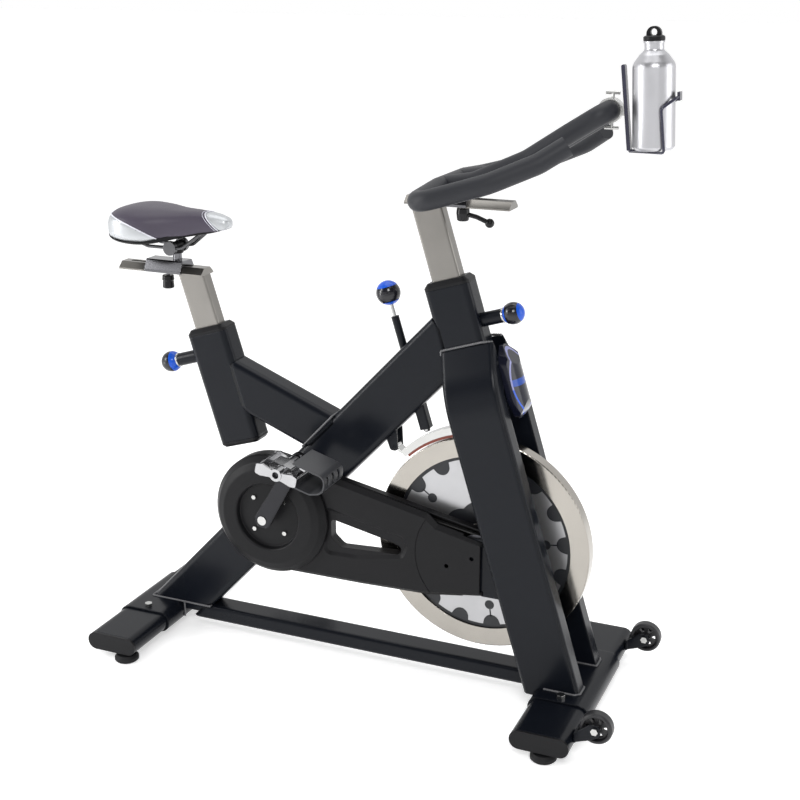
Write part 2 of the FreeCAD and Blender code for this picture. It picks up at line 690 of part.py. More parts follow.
def belt_path(radius_a, radius_b):
    """Closed outline of a belt that wraps two pulleys whose centres are the crank and the flywheel axle."""
    ax, az = size("crank_x"), size("crank_z")
    bx, bz = size("flywheel_x"), size("flywheel_z")
    distance = math.hypot(bx - ax, bz - az)
    along = math.atan2(bz - az, bx - ax)
    spread = math.acos((radius_a - radius_b) / distance)

    def at(cx, cz, radius, angle):
        return V(cx + radius * math.cos(angle), cz + radius * math.sin(angle), 0)

    top_a, top_b = at(ax, az, radius_a, along + spread), at(bx, bz, radius_b, along + spread)
    low_a, low_b = at(ax, az, radius_a, along - spread), at(bx, bz, radius_b, along - spread)
    return [Part.LineSegment(top_a, top_b), Part.Arc(top_b, at(bx, bz, radius_b, along), low_b),
            Part.LineSegment(low_b, low_a), Part.Arc(low_a, at(ax, az, radius_a, along + math.pi), top_a)]


def drive_train():
    x, z = size("crank_x"), size("crank_z")
    belt, width = size("belt_y"), size("belt_width") * HALF
    big, small = size("drive_pulley_radius"), size("driven_pulley_radius")
    gap = 0.3
    keep(plate("drive_belt", belt_path(big + gap + BELT, small + gap + BELT) + belt_path(big + gap,
                                                                                         small + gap),
               2 * width, belt))
    spindle = size("spindle_radius")
    pulley = turned("drive_pulley", [(spindle, belt - width - 1), (30, belt - width - 1), (30, belt - 2),
                                     (big - 10, belt - 2),
                                     (big - 10, belt - width), (big, belt - width), (big, belt + width),
                                     (big - 10, belt + width), (big - 10, belt + 2), (30, belt + 2),
                                     (30, belt + width - 1),
                                     (spindle, belt + width - 1)], V(x, 0, z), Y_AXIS)
    lightening = new_sketch(pulley, "XY_Plane", ring(60, 0, 16), "lightening")
    lightening.AttachmentOffset = FreeCAD.Placement(V(0, 0, belt), FreeCAD.Rotation())
    pocket = add_pocket(pulley, lightening, 40)
    holes = pulley.newObject("PartDesign::PolarPattern", "drive_pulley_holes")
    holes.Originals = [pocket]
    holes.Axis = (next(f for f in pulley.Origin.OriginFeatures if f.Role == "Z_Axis"), [""])
    holes.Angle = FULL_TURN
    holes.Occurrences = 5
    pulley.Tip = holes
    keep(pulley)
    reach = size("arm_centre") + size("arm_thickness") * HALF + 2
    keep(rod("crank_spindle", "Sizes.spindle_radius", 2 * reach, (x, -reach, z), Y_AXIS))
    for side, hand, angle in ((-1, "right", size("crank_angle")), (1, "left", size("crank_angle") + 180)):
        px, pz = pedal_centre(angle)
        start, stop = size("arm_centre") - size("arm_thickness") * HALF, PEDAL_OUT - 8
        y = -stop if side < 0 else start
        pedal_spindle = rod(f"pedal_spindle_{hand}", "Sizes.pedal_spindle_radius", stop - start,
                            (px, y, pz), Y_AXIS)
        keep(fuse(f"crank_arm_{hand}", crank_arm(side, hand, angle, size("crank_length")), pedal_spindle))


BELT = 3.0
PEDAL_IN, PEDAL_OUT = 108, 198


def pedal_centre(angle):
    turn = math.radians(angle)
    return (size("crank_x") + size("crank_length") * math.cos(turn),
            size("crank_z") + size("crank_length") * math.sin(turn))


def crank_arm(side, hand, angle, length):
    """A tapered arm with a round boss at each end, drawn pointing along +X and then turned."""
    root, tip = 19, 15
    lean = math.asin((root - tip) / length)
    c, s = math.cos(lean), math.sin(lean)
    top = [V(root * s, root * c, 0), V(length + tip * s, tip * c, 0)]
    low = [V(point.x, -point.y, 0) for point in top]
    outline = [Part.LineSegment(top[0], top[1]), Part.Arc(top[1], V(length + tip, 0, 0), low[1]),
               Part.LineSegment(low[1], low[0]), Part.Arc(low[0], V(-root, 0, 0), top[0])]
    body = new_body(f"crank_arm_{hand}_blank")
    curves = outline + ring(0, 0, size("spindle_radius"))
    pad = add_pad(body, new_sketch(body, "XZ_Plane", curves), "Sizes.arm_thickness")
    doc.recompute()
    edges = [f"Edge{i}" for i, edge in enumerate(pad.Shape.Edges, start=1)
             if edge.BoundBox.YLength < 1e-3 and edge.BoundBox.XLength > 30]
    bevel = body.newObject("PartDesign::Chamfer", f"{body.Name}_bevel")
    bevel.Base = (pad, edges)
    bevel.Size = 3
    body.Placement = FreeCAD.Placement(V(size("crank_x"), side * size("arm_centre"), size("crank_z")),
                                       FreeCAD.Rotation(Y_AXIS, -angle))
    return body


def pedals():
    """Metal pedals with a toothed cage frame, and a slotted toe basket bolted to the front of each."""
    for side, hand, angle in ((-1, "right", size("crank_angle")), (1, "left", size("crank_angle") + 180)):
        px, pz = pedal_centre(angle)
        centre = side * (PEDAL_IN + PEDAL_OUT) * HALF
        width = PEDAL_OUT - PEDAL_IN
        barrel = rod(f"pedal_barrel_{hand}", 13, width - 4, (0, -(width - 4) * HALF, 0), Y_AXIS)
        half = 46
        rails = []
        for place in (-1, 1):
            wall = loop([(-half, -11, 4), (-half + 12, -13, 4), (-14, -9, 4), (14, -9, 4),
                         (half - 12, -13, 4), (half, -11, 4),
                         (half, 9, 4), (half - 12, 13, 4), (14, 8, 4), (-14, 8, 4), (-half + 12, 13, 4),
                         (-half, 9, 4)])
            rails.append(plate(f"pedal_side_{hand}_{place}", wall, 5, place * (width * HALF - 6)))
            bar = box_loop(5, 18, 2, x=place * (half - 3), y=-1)
            rails.append(plate(f"pedal_bar_{hand}_{place}", bar, width - 12))
        clip = plate(f"pedal_clip_{hand}", loop([(-24, -12, 3), (20, -12, 3), (26, -4, 3), (20, 12, 4),
                                                 (2, 15, 3), (-22, 15, 3),
                                                (-28, 6, 3)]), 34)
        bore = rod(f"pedal_bore_{hand}", size("pedal_spindle_radius") + 0.06, 2 * width, (0, -width, 0),
                   Y_AXIS)
        body = cut(f"pedal_{hand}", fuse(f"pedal_metal_{hand}", barrel, clip, *rails), bore)
        tilt = FreeCAD.Rotation(Y_AXIS, PEDAL_TILT)
        body.Placement = FreeCAD.Placement(V(px, centre, pz), tilt)
        keep(body)
        keep(toe_cage(hand, px, centre, pz, tilt, half, width))


PEDAL_TILT = 12.5


def toe_cage(hand, px, centre, pz, tilt, half, width):
    """A curved basket that closes over the shoe's toe, open at the back, with slots for air and strap."""
    wall = 3.2
    front = half - 0.5
    outer = loop([(front, -12), (front + 34, -14, 16), (front + 62, -2, 20), (front + 60, 34, 18),
                  (front - 14, 40), (front - 14, 40 - wall),
                  (front + 57, 31, 15), (front + 58.8, 0, 17), (front + 33, -14 + wall, 13),
                  (front, -12 + wall)])
    shell = plate(f"toe_shell_{hand}", outer, width - 4)
    slots = []
    for offset in (-24, 0, 24):
        slots.append(block(f"toe_slot_{hand}_{offset}", front + 6, offset - 6, 40, 30, 12, 30))
        slots.append(block(f"toe_front_{hand}_{offset}", front + 40, offset - 6, 8, 40, 12, 22))
    basket = cut(f"toe_cage_{hand}", shell, *slots)
    basket.Placement = FreeCAD.Placement(V(px, centre, pz), tilt)
    return basket


# ---------------------------------------------------------------- chain guard

def guard_outline(grow=0.0, step=True):
    """The guard's side outline: a round end about the crank, narrowing to the flywheel axle."""
    cx, cz, radius = size("crank_x"), size("crank_z"), size("crank_cover_radius") + 1 + grow
    end = 274
    top = [(150, 384 + grow), (172, 364 + grow), (end, 342 + grow)] if step else [(end, 361 + grow)]
    low = [(end, 222 - grow), (150, 204 - grow, 30), (0, 200.5 - grow, 60)]
    rise = math.radians(62)
    start = V(cx + radius * math.cos(rise), cz + radius * math.sin(rise), 0)
    fall = math.radians(-80)
    stop = V(cx + radius * math.cos(fall), cz + radius * math.sin(fall), 0)
    back = V(cx - radius, cz, 0)
    chain = [(start.x, start.y)] + top + low + [(stop.x, stop.y)]
    curves = open_chain(chain)
    curves.append(Part.Arc(stop, back, start))
    return curves


def open_chain(points):
    """Lines through the points, with arcs where a radius is given, left open at both ends."""
    curves = []
    last = V(points[0][0], points[0][1], 0)
    for i in range(1, len(points)):
        here = V(points[i][0], points[i][1], 0)
        radius = points[i][2] if len(points[i]) > 2 else 0.0
        if radius > 0 and i + 1 < len(points):
            back = (V(points[i - 1][0], points[i - 1][1], 0) - here).normalize()
            ahead = (V(points[i + 1][0], points[i + 1][1], 0) - here).normalize()
            half = back.getAngle(ahead) * HALF
            reach = radius / math.tan(half)
            bisector = (back + ahead).normalize()
            first, stop = here + back * reach, here + ahead * reach
            middle = here + bisector * (radius / math.sin(half) - radius)
            curves.append(Part.LineSegment(last, first))
            curves.append(Part.Arc(first, middle, stop))
            last = stop
        else:
            curves.append(Part.LineSegment(last, here))
            last = here
    return curves


def window(grow):
    """The see-through window between the crank and the flywheel."""
    return loop([(-66 - grow, 338 + grow, 8 + grow), (72 + grow, 309 + grow, 10 + grow),
                 (96 + grow, 300, 10 + grow),
                 (90 + grow, 284 - grow, 8 + grow), (-44 - grow, 277 - grow, 12 + grow),
                 (-66 - grow, 296 - grow, 10 + grow)])


def chain_guard():
    back, parting, front = size("guard_back"), size("guard_parting"), size("guard_front")
    wall, bevel = size("guard_wall"), size("guard_bevel")
    cx, cz = size("crank_x"), size("crank_z")
    fx, fz = size("flywheel_x"), size("flywheel_z")

    outer = new_body("guard_outer_shell")
    depth = front - parting
    pad = add_pad(outer, new_sketch(outer, "XZ_Plane", guard_outline()), depth, side="One side")
    doc.recompute()
    chamfer = outer.newObject("PartDesign::Chamfer", "guard_outer_bevel")
    chamfer.Base = (pad, bevel_edges(pad.Shape, -depth))
    chamfer.Size = bevel
    cavity = new_sketch(outer, "XZ_Plane", guard_outline(-bevel - wall), "cavity")
    add_pocket(outer, cavity, depth - wall, side="One side", reverse=True)
    backing = raised_sketch(outer, window_recess(), "recess_backing", depth - RECESS - wall)
    add_pad(outer, backing, RECESS, side="One side")
    recess = add_pocket(outer, raised_sketch(outer, window_recess(), "recess", depth), RECESS,
                        side="One side")
    recess.TaperAngle = RECESS_TAPER
    frame_wall = new_sketch(outer, "XZ_Plane", window(WINDOW_WALL) + window(0), "window_frame")
    add_pad(outer, frame_wall, depth - RECESS - wall * HALF, side="One side")
    add_pocket(outer, new_sketch(outer, "XZ_Plane", window(0), "window"), 4 * depth)
    crank_hole = new_sketch(outer, "XZ_Plane", ring(cx, cz, size("crank_cover_radius") - 14), "crank_hole")
    add_pocket(outer, crank_hole, 4 * depth)
    small = new_sketch(outer, "XZ_Plane", ring(194, 279, 4.5) + ring(248, 304, 4.5), "adjuster_holes")
    add_pocket(outer, small, 4 * depth)
    seam = raised_sketch(outer, ring(253, 300, 128) + ring(253, 300, 126), "seam", depth)
    add_pocket(outer, seam, 1, side="One side")
    notch = loop([(fx - 26, fz - 120), (fx + 50, fz - 120), (fx + 50, fz + 60), (fx - 26, fz + 60)])
    add_pocket(outer, new_sketch(outer, "XZ_Plane", notch, "bracket_notch"), 2 * BRACKET_ROOM)
    outer.Placement.Base = V(0, -parting, 0)
    keep(outer)

    inner = new_body("guard_inner_shell")
    depth = parting - back
    add_pad(inner, new_sketch(inner, "XZ_Plane", guard_outline(0, step=False)), depth, side="One side")
    cavity = raised_sketch(inner, guard_outline(-3.0, step=False), "cavity", wall)
    add_pocket(inner, cavity, depth, side="One side", reverse=True)
    frame_wall = new_sketch(inner, "XZ_Plane", window(WINDOW_WALL) + window(0), "window_frame")
    add_pad(inner, frame_wall, depth, side="One side")
    for label, curves in (("window", window(0)), ("crank_hole", ring(cx, cz, SHELL_RADIUS + 0.4)),
                          ("axle_hole", ring(fx, fz, 34))):
        add_pocket(inner, new_sketch(inner, "XZ_Plane", curves, label), 4 * depth)
    inner.Placement.Base = V(0, -back, 0)
    keep(inner)


WINDOW_WALL, RECESS, RECESS_TAPER = 3, 4, -60
BRACKET_ROOM = 6.5


def raised_sketch(body, curves, name, height):
    """A sketch parallel to the body's XZ plane, a height in front of it."""
    sketch = new_sketch(body, "XZ_Plane", curves, name)
    sketch.AttachmentOffset = FreeCAD.Placement(V(0, 0, height), FreeCAD.Rotation())
    return sketch


def window_recess():
    """Outer edge of the slope that runs down to the window."""
    return loop([(-82, 367, 16), (100, 327, 14), (110, 304, 16), (99, 278, 14), (-10, 259, 60),
                 (-78, 257, 18), (-90, 290, 30)])


def bevel_edges(shape, y):
    """Edges of the front face along the guard's straight sides, not its round end."""
    names = []
    for i, edge in enumerate(shape.Edges, start=1):
        box = edge.BoundBox
        on_face = box.YLength < 1e-3 and abs(box.YMin - y) < 1e-3
        if on_face and not (hasattr(edge.Curve, "Radius") and edge.Curve.Radius > 100):
            names.append(f"Edge{i}")
    return names


def crank_cover():
    """The round cover with a raised ring and a recessed middle that the crank turns in."""
    radius, recess, front = size("crank_cover_radius"), size("recess_radius"), size("guard_front")
    profile = [(SHAFT_HOLE, 69), (recess, 69, 2), (recess + 2, 82, 5), (104, 82, 10), (119, 76, 8),
               (radius, 62, 3), (radius, front + 0.2),
               (radius - 3, front + 0.2), (radius - 3, 61, 3), (117.5, 73, 8), (103, 79, 8),
               (recess + 5, 79, 3), (recess + 3, 66),
               (SHAFT_HOLE, 66)]
    disc = turned("crank_cover_disc", profile, V(size("crank_x"), 0, size("crank_z")), -Y_AXIS)
    holes = [rod(f"cover_hole_{dx}_{dz}", 2, 20, (size("crank_x") + dx * COVER_BOLTS, -75,
                                                  size("crank_z") + dz * COVER_BOLTS), Y_AXIS)
             for dx in (-1, 1) for dz in (-1, 1)]
    keep(cut("guard_crank_cover", disc, *holes))


SHAFT_HOLE = 14


# ---------------------------------------------------------------- brake

def brake():
    """Push rod through the main tube, with a leaf that presses a pad on the rim."""
    def at(distance):
        return along_lean(BRAKE_X, BRAKE_Z, distance)

    radius, foot = size("brake_rod_radius"), -HOUSING_FOOT
    guide_top = -48
    guide_foot = guide_top - GUIDE_LENGTH
    skin = GUIDE_RADIUS - 0.05
    guide = [(radius + 0.3, 0), (skin, 0), (skin, GUIDE_LENGTH), (radius + 0.3, GUIDE_LENGTH)]
    upper = turned("brake_guide_tube", guide)
    upper.Placement = leaning(*at(guide_foot))
    housing = new_body("brake_square")
    curves = box_loop(21.8, 21.8, 3) + ring(0, 0, radius + 0.3)
    add_pad(housing, new_sketch(housing, "XY_Plane", curves), 86, side="One side")
    housing.Placement = leaning(*at(HOUSING_FOOT))
    keep(group("brake_guides", [upper, housing]))
    tip, tip_length, rod_top = 7, 6.2, 2
    length = foot + tip_length + 0.5 - rod_top
    stem = turned("brake_rod", [(0, 0), (tip - 2, 0), (tip, 2), (tip, tip_length), (radius, tip_length),
                                (radius, length), (0, length)])
    stem.Placement = leaning(*at(HOUSING_FOOT - tip_length - 0.5))
    keep(stem)
    ball = size("ball_radius") + 2
    profile = [(0, -ball * 0.62), (12, -ball * 0.62)] + dome(ball, -38, 66)
    knob = turned("brake_knob_ball", profile)
    knob.Placement = leaning(*at(0))
    socket = rod("brake_knob_socket", radius + 0.05, 40, (0, 0, 0))
    socket.Placement = leaning(*at(-rod_top - 39.8))
    keep(cut("brake_knob", knob, socket))
    strip = arc_strip("brake_strip", LEAF_INNER, LEAF_RADIUS + 3 - LEAF_INNER, 104, 136, 24)
    tail = plate("brake_tail", loop([(59, 500), (76.5, 489.5), (79, 493.5), (63, 506)]), 24)
    barrel = rod("brake_barrel", 6.5, 24, (PIVOT[0], -12, PIVOT[1]), Y_AXIS)
    bore = rod("brake_bore", 3.06, 40, (PIVOT[0], -20, PIVOT[1]), Y_AXIS)
    keep(cut("brake_leaf", fuse("brake_leaf_solid", strip, tail, barrel), bore))
    clearance = size("flywheel_radius") + 3
    keep(arc_strip("brake_pad", clearance, LEAF_INNER - clearance, 106, 134, 26))
    cheeks = [plate(f"brake_cheek_{side}", loop([(PIVOT[0] - 8, PIVOT[1] - 8, 6),
                                                 (PIVOT[0] + 8, PIVOT[1] - 8, 6), (66, 550), (42, 524)]), 3,
                    side * 14) for side in (-1, 1)]
    pin = rod("brake_pivot_pin", 3, 34, (PIVOT[0], -17, PIVOT[1]), Y_AXIS)
    return cheeks, pin


GUIDE_LENGTH = 70
LEAF_INNER, LEAF_RADIUS = 234, 246
PIVOT = (61, 503)


def dome(radius, start, stop):
    """Points of a ball's profile between two latitudes, in degrees, closed onto its axis."""
    points = []
    for step in range(DOME_STEPS + 1):
        angle = math.radians(start + (stop - start) * step / DOME_STEPS)
        points.append((radius * math.cos(angle), radius * math.sin(angle)))
    points.append((0, points[-1][1]))
    return points


DOME_STEPS = 10


def arc_strip(name, radius, thickness, start, stop, width):
    """A strip curved about the flywheel's axle, between two angles in degrees."""
    x, z = size("flywheel_x"), size("flywheel_z")

    def at(r, degrees):
        angle = math.radians(degrees)
        return V(x + r * math.cos(angle), z + r * math.sin(angle), 0)

    middle, outer = (start + stop) * HALF, radius + thickness
    curves = [Part.Arc(at(radius, start), at(radius, middle), at(radius, stop)),
              Part.LineSegment(at(radius, stop), at(outer, stop)),
              Part.Arc(at(outer, stop), at(outer, middle), at(outer, start)),
              Part.LineSegment(at(outer, start), at(radius, start))]
    return plate(name, curves, width)


# ---------------------------------------------------------------- posts and sliding rails

def post_tube(name, length, head):
    outer = box_loop(size("post_depth"), size("post_width"), size("post_corner"))
    wall = size("post_wall")
    inner = box_loop(size("post_depth") - 2 * wall, size("post_width") - 2 * wall,
                     size("post_corner") - wall)
    tube = new_body(name)
    add_pad(tube, new_sketch(tube, "XY_Plane", outer + inner), size(length) + 20, side="One side")
    x, z = along_lean(head[0], head[1], -size(length))
    tube.Placement = leaning(x, z)
    return tube


def rail_profile():
    wide, top, height = size("rail_width") * HALF, size("rail_top_width") * HALF, size("rail_height")
    return loop([(-wide, 0), (wide, 0), (wide, 3), (top, height), (-top, height), (-wide, 3)])


def rail(name, x, z, length):
    body = new_body(name)
    add_pad(body, new_sketch(body, "YZ_Plane", rail_profile()), f"Sizes.{length}", side="One side")
    slot = new_sketch(body, "XY_Plane", box_loop(size(length) - 50, 11, 5,
                                                 x=size(length) * HALF - RAIL_SLOT_SHIFT), "slot")
    add_pocket(body, slot, 100)
    body.Placement.Base = V(x, 0, z)
    return body


RAIL_SLOT_SHIFT = 8


def slider(name, x, z, length, stud_x):
    """A carriage that wraps the rail, with a stud that hangs through the rail's slot."""
    wide, top, height = size("rail_width") * HALF + 0.4, size("rail_top_width") * HALF + 0.4, size("rail_height") + 0.4
    outside = loop([(-wide - 4, 1), (-wide, 1), (-wide, 3.2), (-top, height), (top, height), (wide, 3.2),
                    (wide, 1), (wide + 4, 1),
                    (wide + 4, 6, 2), (top + 6, height + 11, 4), (-top - 6, height + 11, 4),
                    (-wide - 4, 6, 2)])
    body = new_body(name)
    add_pad(body, new_sketch(body, "YZ_Plane", outside), length, side="One side")
    body.Placement.Base = V(x, 0, z)
    stud = rod(f"{name}_stud", 4, height + 26, (stud_x, 0, z - 25), Z_AXIS)
    return body, stud


def seat_group():
    rail_x, rail_z = size("crank_x") - 371, 820
    head = along_lean(size("seat_sleeve_x"), size("seat_sleeve_z"),
                      (rail_z - size("seat_sleeve_z")) / math.cos(LEAN))
    tube = post_tube("seat_post_tube", "seat_post_length", head)
    above = block("above_seat_rail", -700, -100, rail_z, 700, 200, 200)
    keep(fuse("seat_post", cut("seat_post_cut", tube, above), rail("seat_rail", rail_x, rail_z,
                                                                   "seat_rail_length")))
    slide_x, length, stud_x = rail_x + 66, 88, -468
    body, stud = slider("seat_carriage", slide_x, rail_z, length, stud_x)
    pin = rod("saddle_pin", 9.5, 32, (PIN_X, 0, rail_z + 20), Z_AXIS)
    keep(fuse("seat_slider", body, stud, pin))
    keep(turned("seat_slider_knob", [(4.02, 0), (12, 0, 2), (13, -10), (11.5, -12), (12.5, -28, 3),
                                     (0, -29), (0, -16), (4.02, -16)],
                V(stud_x, 0, rail_z - 9)))
    clamp_z = rail_z + 43
    clamp = [turned("clamp_barrel", [(9.55, -2), (13.5, -2, 1), (13.5, 14, 2), (0, 14), (0, 9.2),
                                     (9.55, 9.2)], V(PIN_X, 0, clamp_z)),
             rod("clamp_cross", 11, 34, (PIN_X - 2, -17, clamp_z + 11), Y_AXIS)]
    pin_room = rod("clamp_pin_room", 9.55, 60, (PIN_X, 0, clamp_z - 51), Z_AXIS)
    keep(cut("saddle_clamp", fuse("clamp_solid", *clamp), pin_room))
    saddle(clamp_z + 11)
    saddle_top()


PIN_X = -442.5


def saddle(rail_z):
    """Saddle rails in serrated clamp discs, the moulded base and the padded top."""
    rails = []
    for side in (-1, 1):
        y = side * 22
        points = [(-522, side * 30, rail_z + 12), (-498, side * 24, rail_z + 1, 12),
                  (-418, y, rail_z + 1, 22), (-366, side * 12, rail_z + 41, 20),
                  (-346, side * 9, rail_z + 45)]
        wire = bent_rod(f"saddle_rail_{side}", points, 3.5)
        disc = rod(f"clamp_disc_{side}", 15, 9, (PIN_X - 2, -28 if side < 0 else 19, rail_z), Y_AXIS)
        rails.append(fuse(f"saddle_rail_set_{side}", wire, disc))
    keep(group("saddle_rails", rails))


def saddle_top():
    """The moulded base and the pad on it: one lofted shape, parted by a surface near its underside."""
    whole = new_body("saddle_whole")
    sketches = []
    for i, (x, half, low, high, edge, lip) in enumerate(SADDLE_SECTIONS):
        curves = loop([(-half, low, edge * HALF), (half, low, edge * HALF), (half, high, edge),
                       (-half, high, edge)])
        sketch = new_sketch(whole, "YZ_Plane", curves, f"section_{i}")
        sketch.AttachmentOffset = FreeCAD.Placement(V(0, 0, x), FreeCAD.Rotation())
        sketches.append(sketch)
    loft = whole.newObject("PartDesign::AdditiveLoft", "saddle_loft")
    loft.Profile = sketches[0]
    loft.Sections = sketches[1:]
    loft.Ruled = False
    lower = [(x, low + lip) for x, half, low, high, edge, lip in SADDLE_SECTIONS]
    splitter = plate("below_parting", loop([(-600, 800), (-300, 800),
                                            (-300, lower[-1][1])] + lower[::-1] + [(-600, lower[0][1])]),
                     300)
    splitter_again = plate("below_parting_copy", loop([(-600, 800), (-300, 800),
                                                       (-300, lower[-1][1])] + lower[::-1]
                                                      + [(-600, lower[0][1])]), 300)
    keep(common("saddle_base", whole, splitter))
    keep(cut("saddle_pad", whole, splitter_again))


SADDLE_SECTIONS = [
    (-572, 52, 900, 942, 12, 5), (-558, 73, 893, 952, 20, 5), (-525, 84, 888, 958, 24, 5),
                   (-480, 77, 887, 957, 24, 6),
    (-430, 51, 896, 954, 20, 10), (-380, 31, 906, 953, 16, 12), (-340, 22, 914, 949, 12, 12),
                   (-316, 13, 921, 941, 7, 12)]


# ---------------------------------------------------------------- handlebar

def bar_group():
    rail_z = BAR_RAIL_Z
    head = along_lean(size("head_sleeve_x"), size("head_sleeve_z"),
                      (rail_z - size("head_sleeve_z")) / math.cos(LEAN))
    above = block("above_bar_rail", 0, -100, rail_z, 400, 200, 200)
    tube = cut("bar_post_cut", post_tube("bar_post_tube", "bar_post_length", head), above)
    keep(fuse("bar_post", tube, rail("bar_rail", BAR_RAIL_X, rail_z, "bar_rail_length")))
    body, stud = slider("bar_carriage", LEVER_X - 50, rail_z, 66, LEVER_X)
    cradle = plate("bar_cradle", loop([(BAR_X - 22, rail_z + 18), (BAR_X + 22, rail_z + 18),
                                       (BAR_X + 22, rail_z + 36, 4),
                                       (BAR_X - 22, rail_z + 36, 4)]), 50)
    wide_hold = fuse("bar_slider_solid", body, stud, cradle)
    bar = handlebar()
    rear_room = rod("bar_room", size("bar_radius"), 200, (BAR_X, -100, BAR_Z), Y_AXIS)
    keep(cut("bar_slider", wide_hold, rear_room))
    keep(bar)
    lever = [turned("lever_hub", [(4.02, 0), (12, 0, 2), (13, -10, 3), (11, -25, 3), (0, -25), (0, -21.2),
                                  (4.02, -21.2)],
                    V(LEVER_X, 0, rail_z - 4)),
             bent_rod("lever_arm", [(LEVER_X + 8, 0, rail_z - 16), (LEVER_X + 28, 0, rail_z - 20, 20),
                                    (LEVER_X + 52, 0, rail_z - 29)], 4.5)]
    ball = doc.addObject("Part::Sphere", "lever_ball")
    ball.Radius = 9
    ball.Placement.Base = V(LEVER_X + 54, 0, rail_z - 30)
    keep(fuse("bar_lever", *lever, ball))


BAR_RAIL_X, BAR_RAIL_Z = 85, 1005
LEVER_X = 197
BAR_X, BAR_Z = 173, 1048
BAR_CORNER_Z = 1037.5


def handlebar():
    """Outer bars with forward-pointing horns, and a raised loop in the middle, welded to the rear bar."""
    radius = size("bar_radius")
    outer = [(434, -128, 1145), (390, -150, 1115, 90), (309, -180, 1079, 160),
             (BAR_X, -205, BAR_CORNER_Z, 34),
             (BAR_X, -70, BAR_Z, 60)]
    outer += [(x, -y, z, bend) for x, y, z, bend in outer[:0:-1]] + [(434, 128, 1145)]
    inner = [(BAR_X, -45, BAR_Z), (235, -44, 1059, 60), (334, -40, 1104, 120), (412.5, -40, 1156, 120),
             (CLAMP_X, -40, CLAMP_Z, 23)]
    inner += [(x, -y, z, bend) for x, y, z, bend in inner[:0:-1]] + [(BAR_X, 45, BAR_Z)]
    return fuse("handlebar", bent_rod("bar_outer", outer, radius), bent_rod("bar_loop", inner, radius))


# ---------------------------------------------------------------- bottle, cage and badge

def bottle_group():
    lean = FreeCAD.Rotation(Y_AXIS, -3)
    base = FreeCAD.Placement(V(size("bottle_x"), 0, size("bottle_z")), lean)
    radius, wall = size("bottle_radius"), 1.5
    body = turned("bottle", [
        (0, 0), (radius - 4, 0, 2), (radius, 5, 4), (radius, 148, 18), (radius - 12, 164, 10), (17, 172, 5),
                             (17, 184), (18.6, 184),
        (18.6, 187), (17, 187), (17, 192), (17 - wall, 192), (17 - wall, 171, 5), (radius - 13, 162.5, 9),
                             (radius - wall, 147.5, 17),
        (radius - wall, 6, 3), (radius - 5, wall, 2), (0, wall)])
    body.Placement = base
    keep(body)
    cap_z = 187.4
    cap = turned("cap_turned", [(17.3, cap_z), (19, cap_z, 1), (19, cap_z + 7, 2), (15, cap_z + 9, 2),
                                (0, cap_z + 9), (0, 192.5), (17.3, 192.5)])
    lug = plate("cap_lug", loop([(-13, 192.6), (13, 192.6), (13, 212, 12.5), (-13, 212, 12.5)]), 10)
    hole = rod("cap_hole", 6, 40, (0, -20, 202), Y_AXIS)
    top = cut("bottle_cap", fuse("cap_solid", cap, lug), hole)
    top.Placement = base
    keep(top)
    strip = plate("cage_strip", loop([(-47, -1.5), (-40, -1.5), (-50.3, 148.5, 3.4), (-57.3, 148.5, 3.4)]),
                  14)
    near = [(-43, -4, -2.8), (25.8, -32.5, -2.8, 6), (21.5, -36.5, 74, 8), (45, -14, 92, 12)]
    wire = bent_rod("cage_wire", near + [(x, -y, z, bend) for x, y, z,
                                         bend in near[:0:-1]] + [(-43, 4, -2.8)], 2.5)
    tab = block("cage_tab", 43, -9, 85, 5, 18, 15)
    cage = fuse("bottle_cage", strip, wire, tab)
    cage.Placement = base
    keep(cage)
    clamp_ring = rod("cage_clamp_ring", size("bar_radius") + 4, 20, (CLAMP_X, -10, CLAMP_Z), Y_AXIS)
    clamp_room = rod("cage_clamp_room", size("bar_radius"), 40, (CLAMP_X, -20, CLAMP_Z), Y_AXIS)
    arm = block("cage_clamp_arm", CLAMP_X + 14, -6, CLAMP_Z - 8, 25, 12, 16)
    beyond = plate("cage_strip_room", loop([(-44.25, -41.5), (60, -41.5), (60, 188.5), (-60.05, 188.5)]), 60)
    beyond.Placement = base
    screws = []
    for end in (-1, 1):
        screws.append(rod(f"cage_clamp_screw_{end}", 3, 14, (CLAMP_X + 3, 0, CLAMP_Z + end * 25 - 7),
                          Z_AXIS))
        screws.append(rod(f"cage_clamp_wing_{end}", 3, 26, (CLAMP_X - 10, 0, CLAMP_Z + end * 31),
                          V(1, 0, 0)))
    keep(cut("cage_clamp", fuse("cage_clamp_solid", clamp_ring, arm, *screws), clamp_room, beyond))


CLAMP_X, CLAMP_Z = 474.5, 1195.5


def badge():
    """A domed shield between the fork legs, below the head sleeve."""
    plane = size("leg_depth") * HALF / math.cos(LEAN)

    def front(z, out):
        return size("leg_base_x") - z * math.tan(LEAN) + plane + out, z

    profile = [front(740, 0.3), front(596, 0.3), front(598, 4), (*front(630, 30), 60),
               (*front(700, 32), 60), front(740, 8)]
    side_view = plate("badge_side", loop(profile), 120)
    front_view = new_body("badge_front")
    shield = loop([(0, 748, 16), (36, 718, 34), (43, 640, 60), (28, 606, 22), (0, 594, 30), (-28, 606, 22),
                   (-43, 640, 60), (-36, 718, 34)])
    add_pad(front_view, new_sketch(front_view, "YZ_Plane", shield), 500, side="One side")
    round_x, round_z = front(675, 25 - BADGE_DOME)
    barrel = rod("badge_dome", BADGE_DOME, 300, (0, 0, 0))
    barrel.Placement = leaning(*along_lean(round_x, round_z, -150))
    keep(common("front_badge", side_view, front_view, barrel))


BADGE_DOME = 62


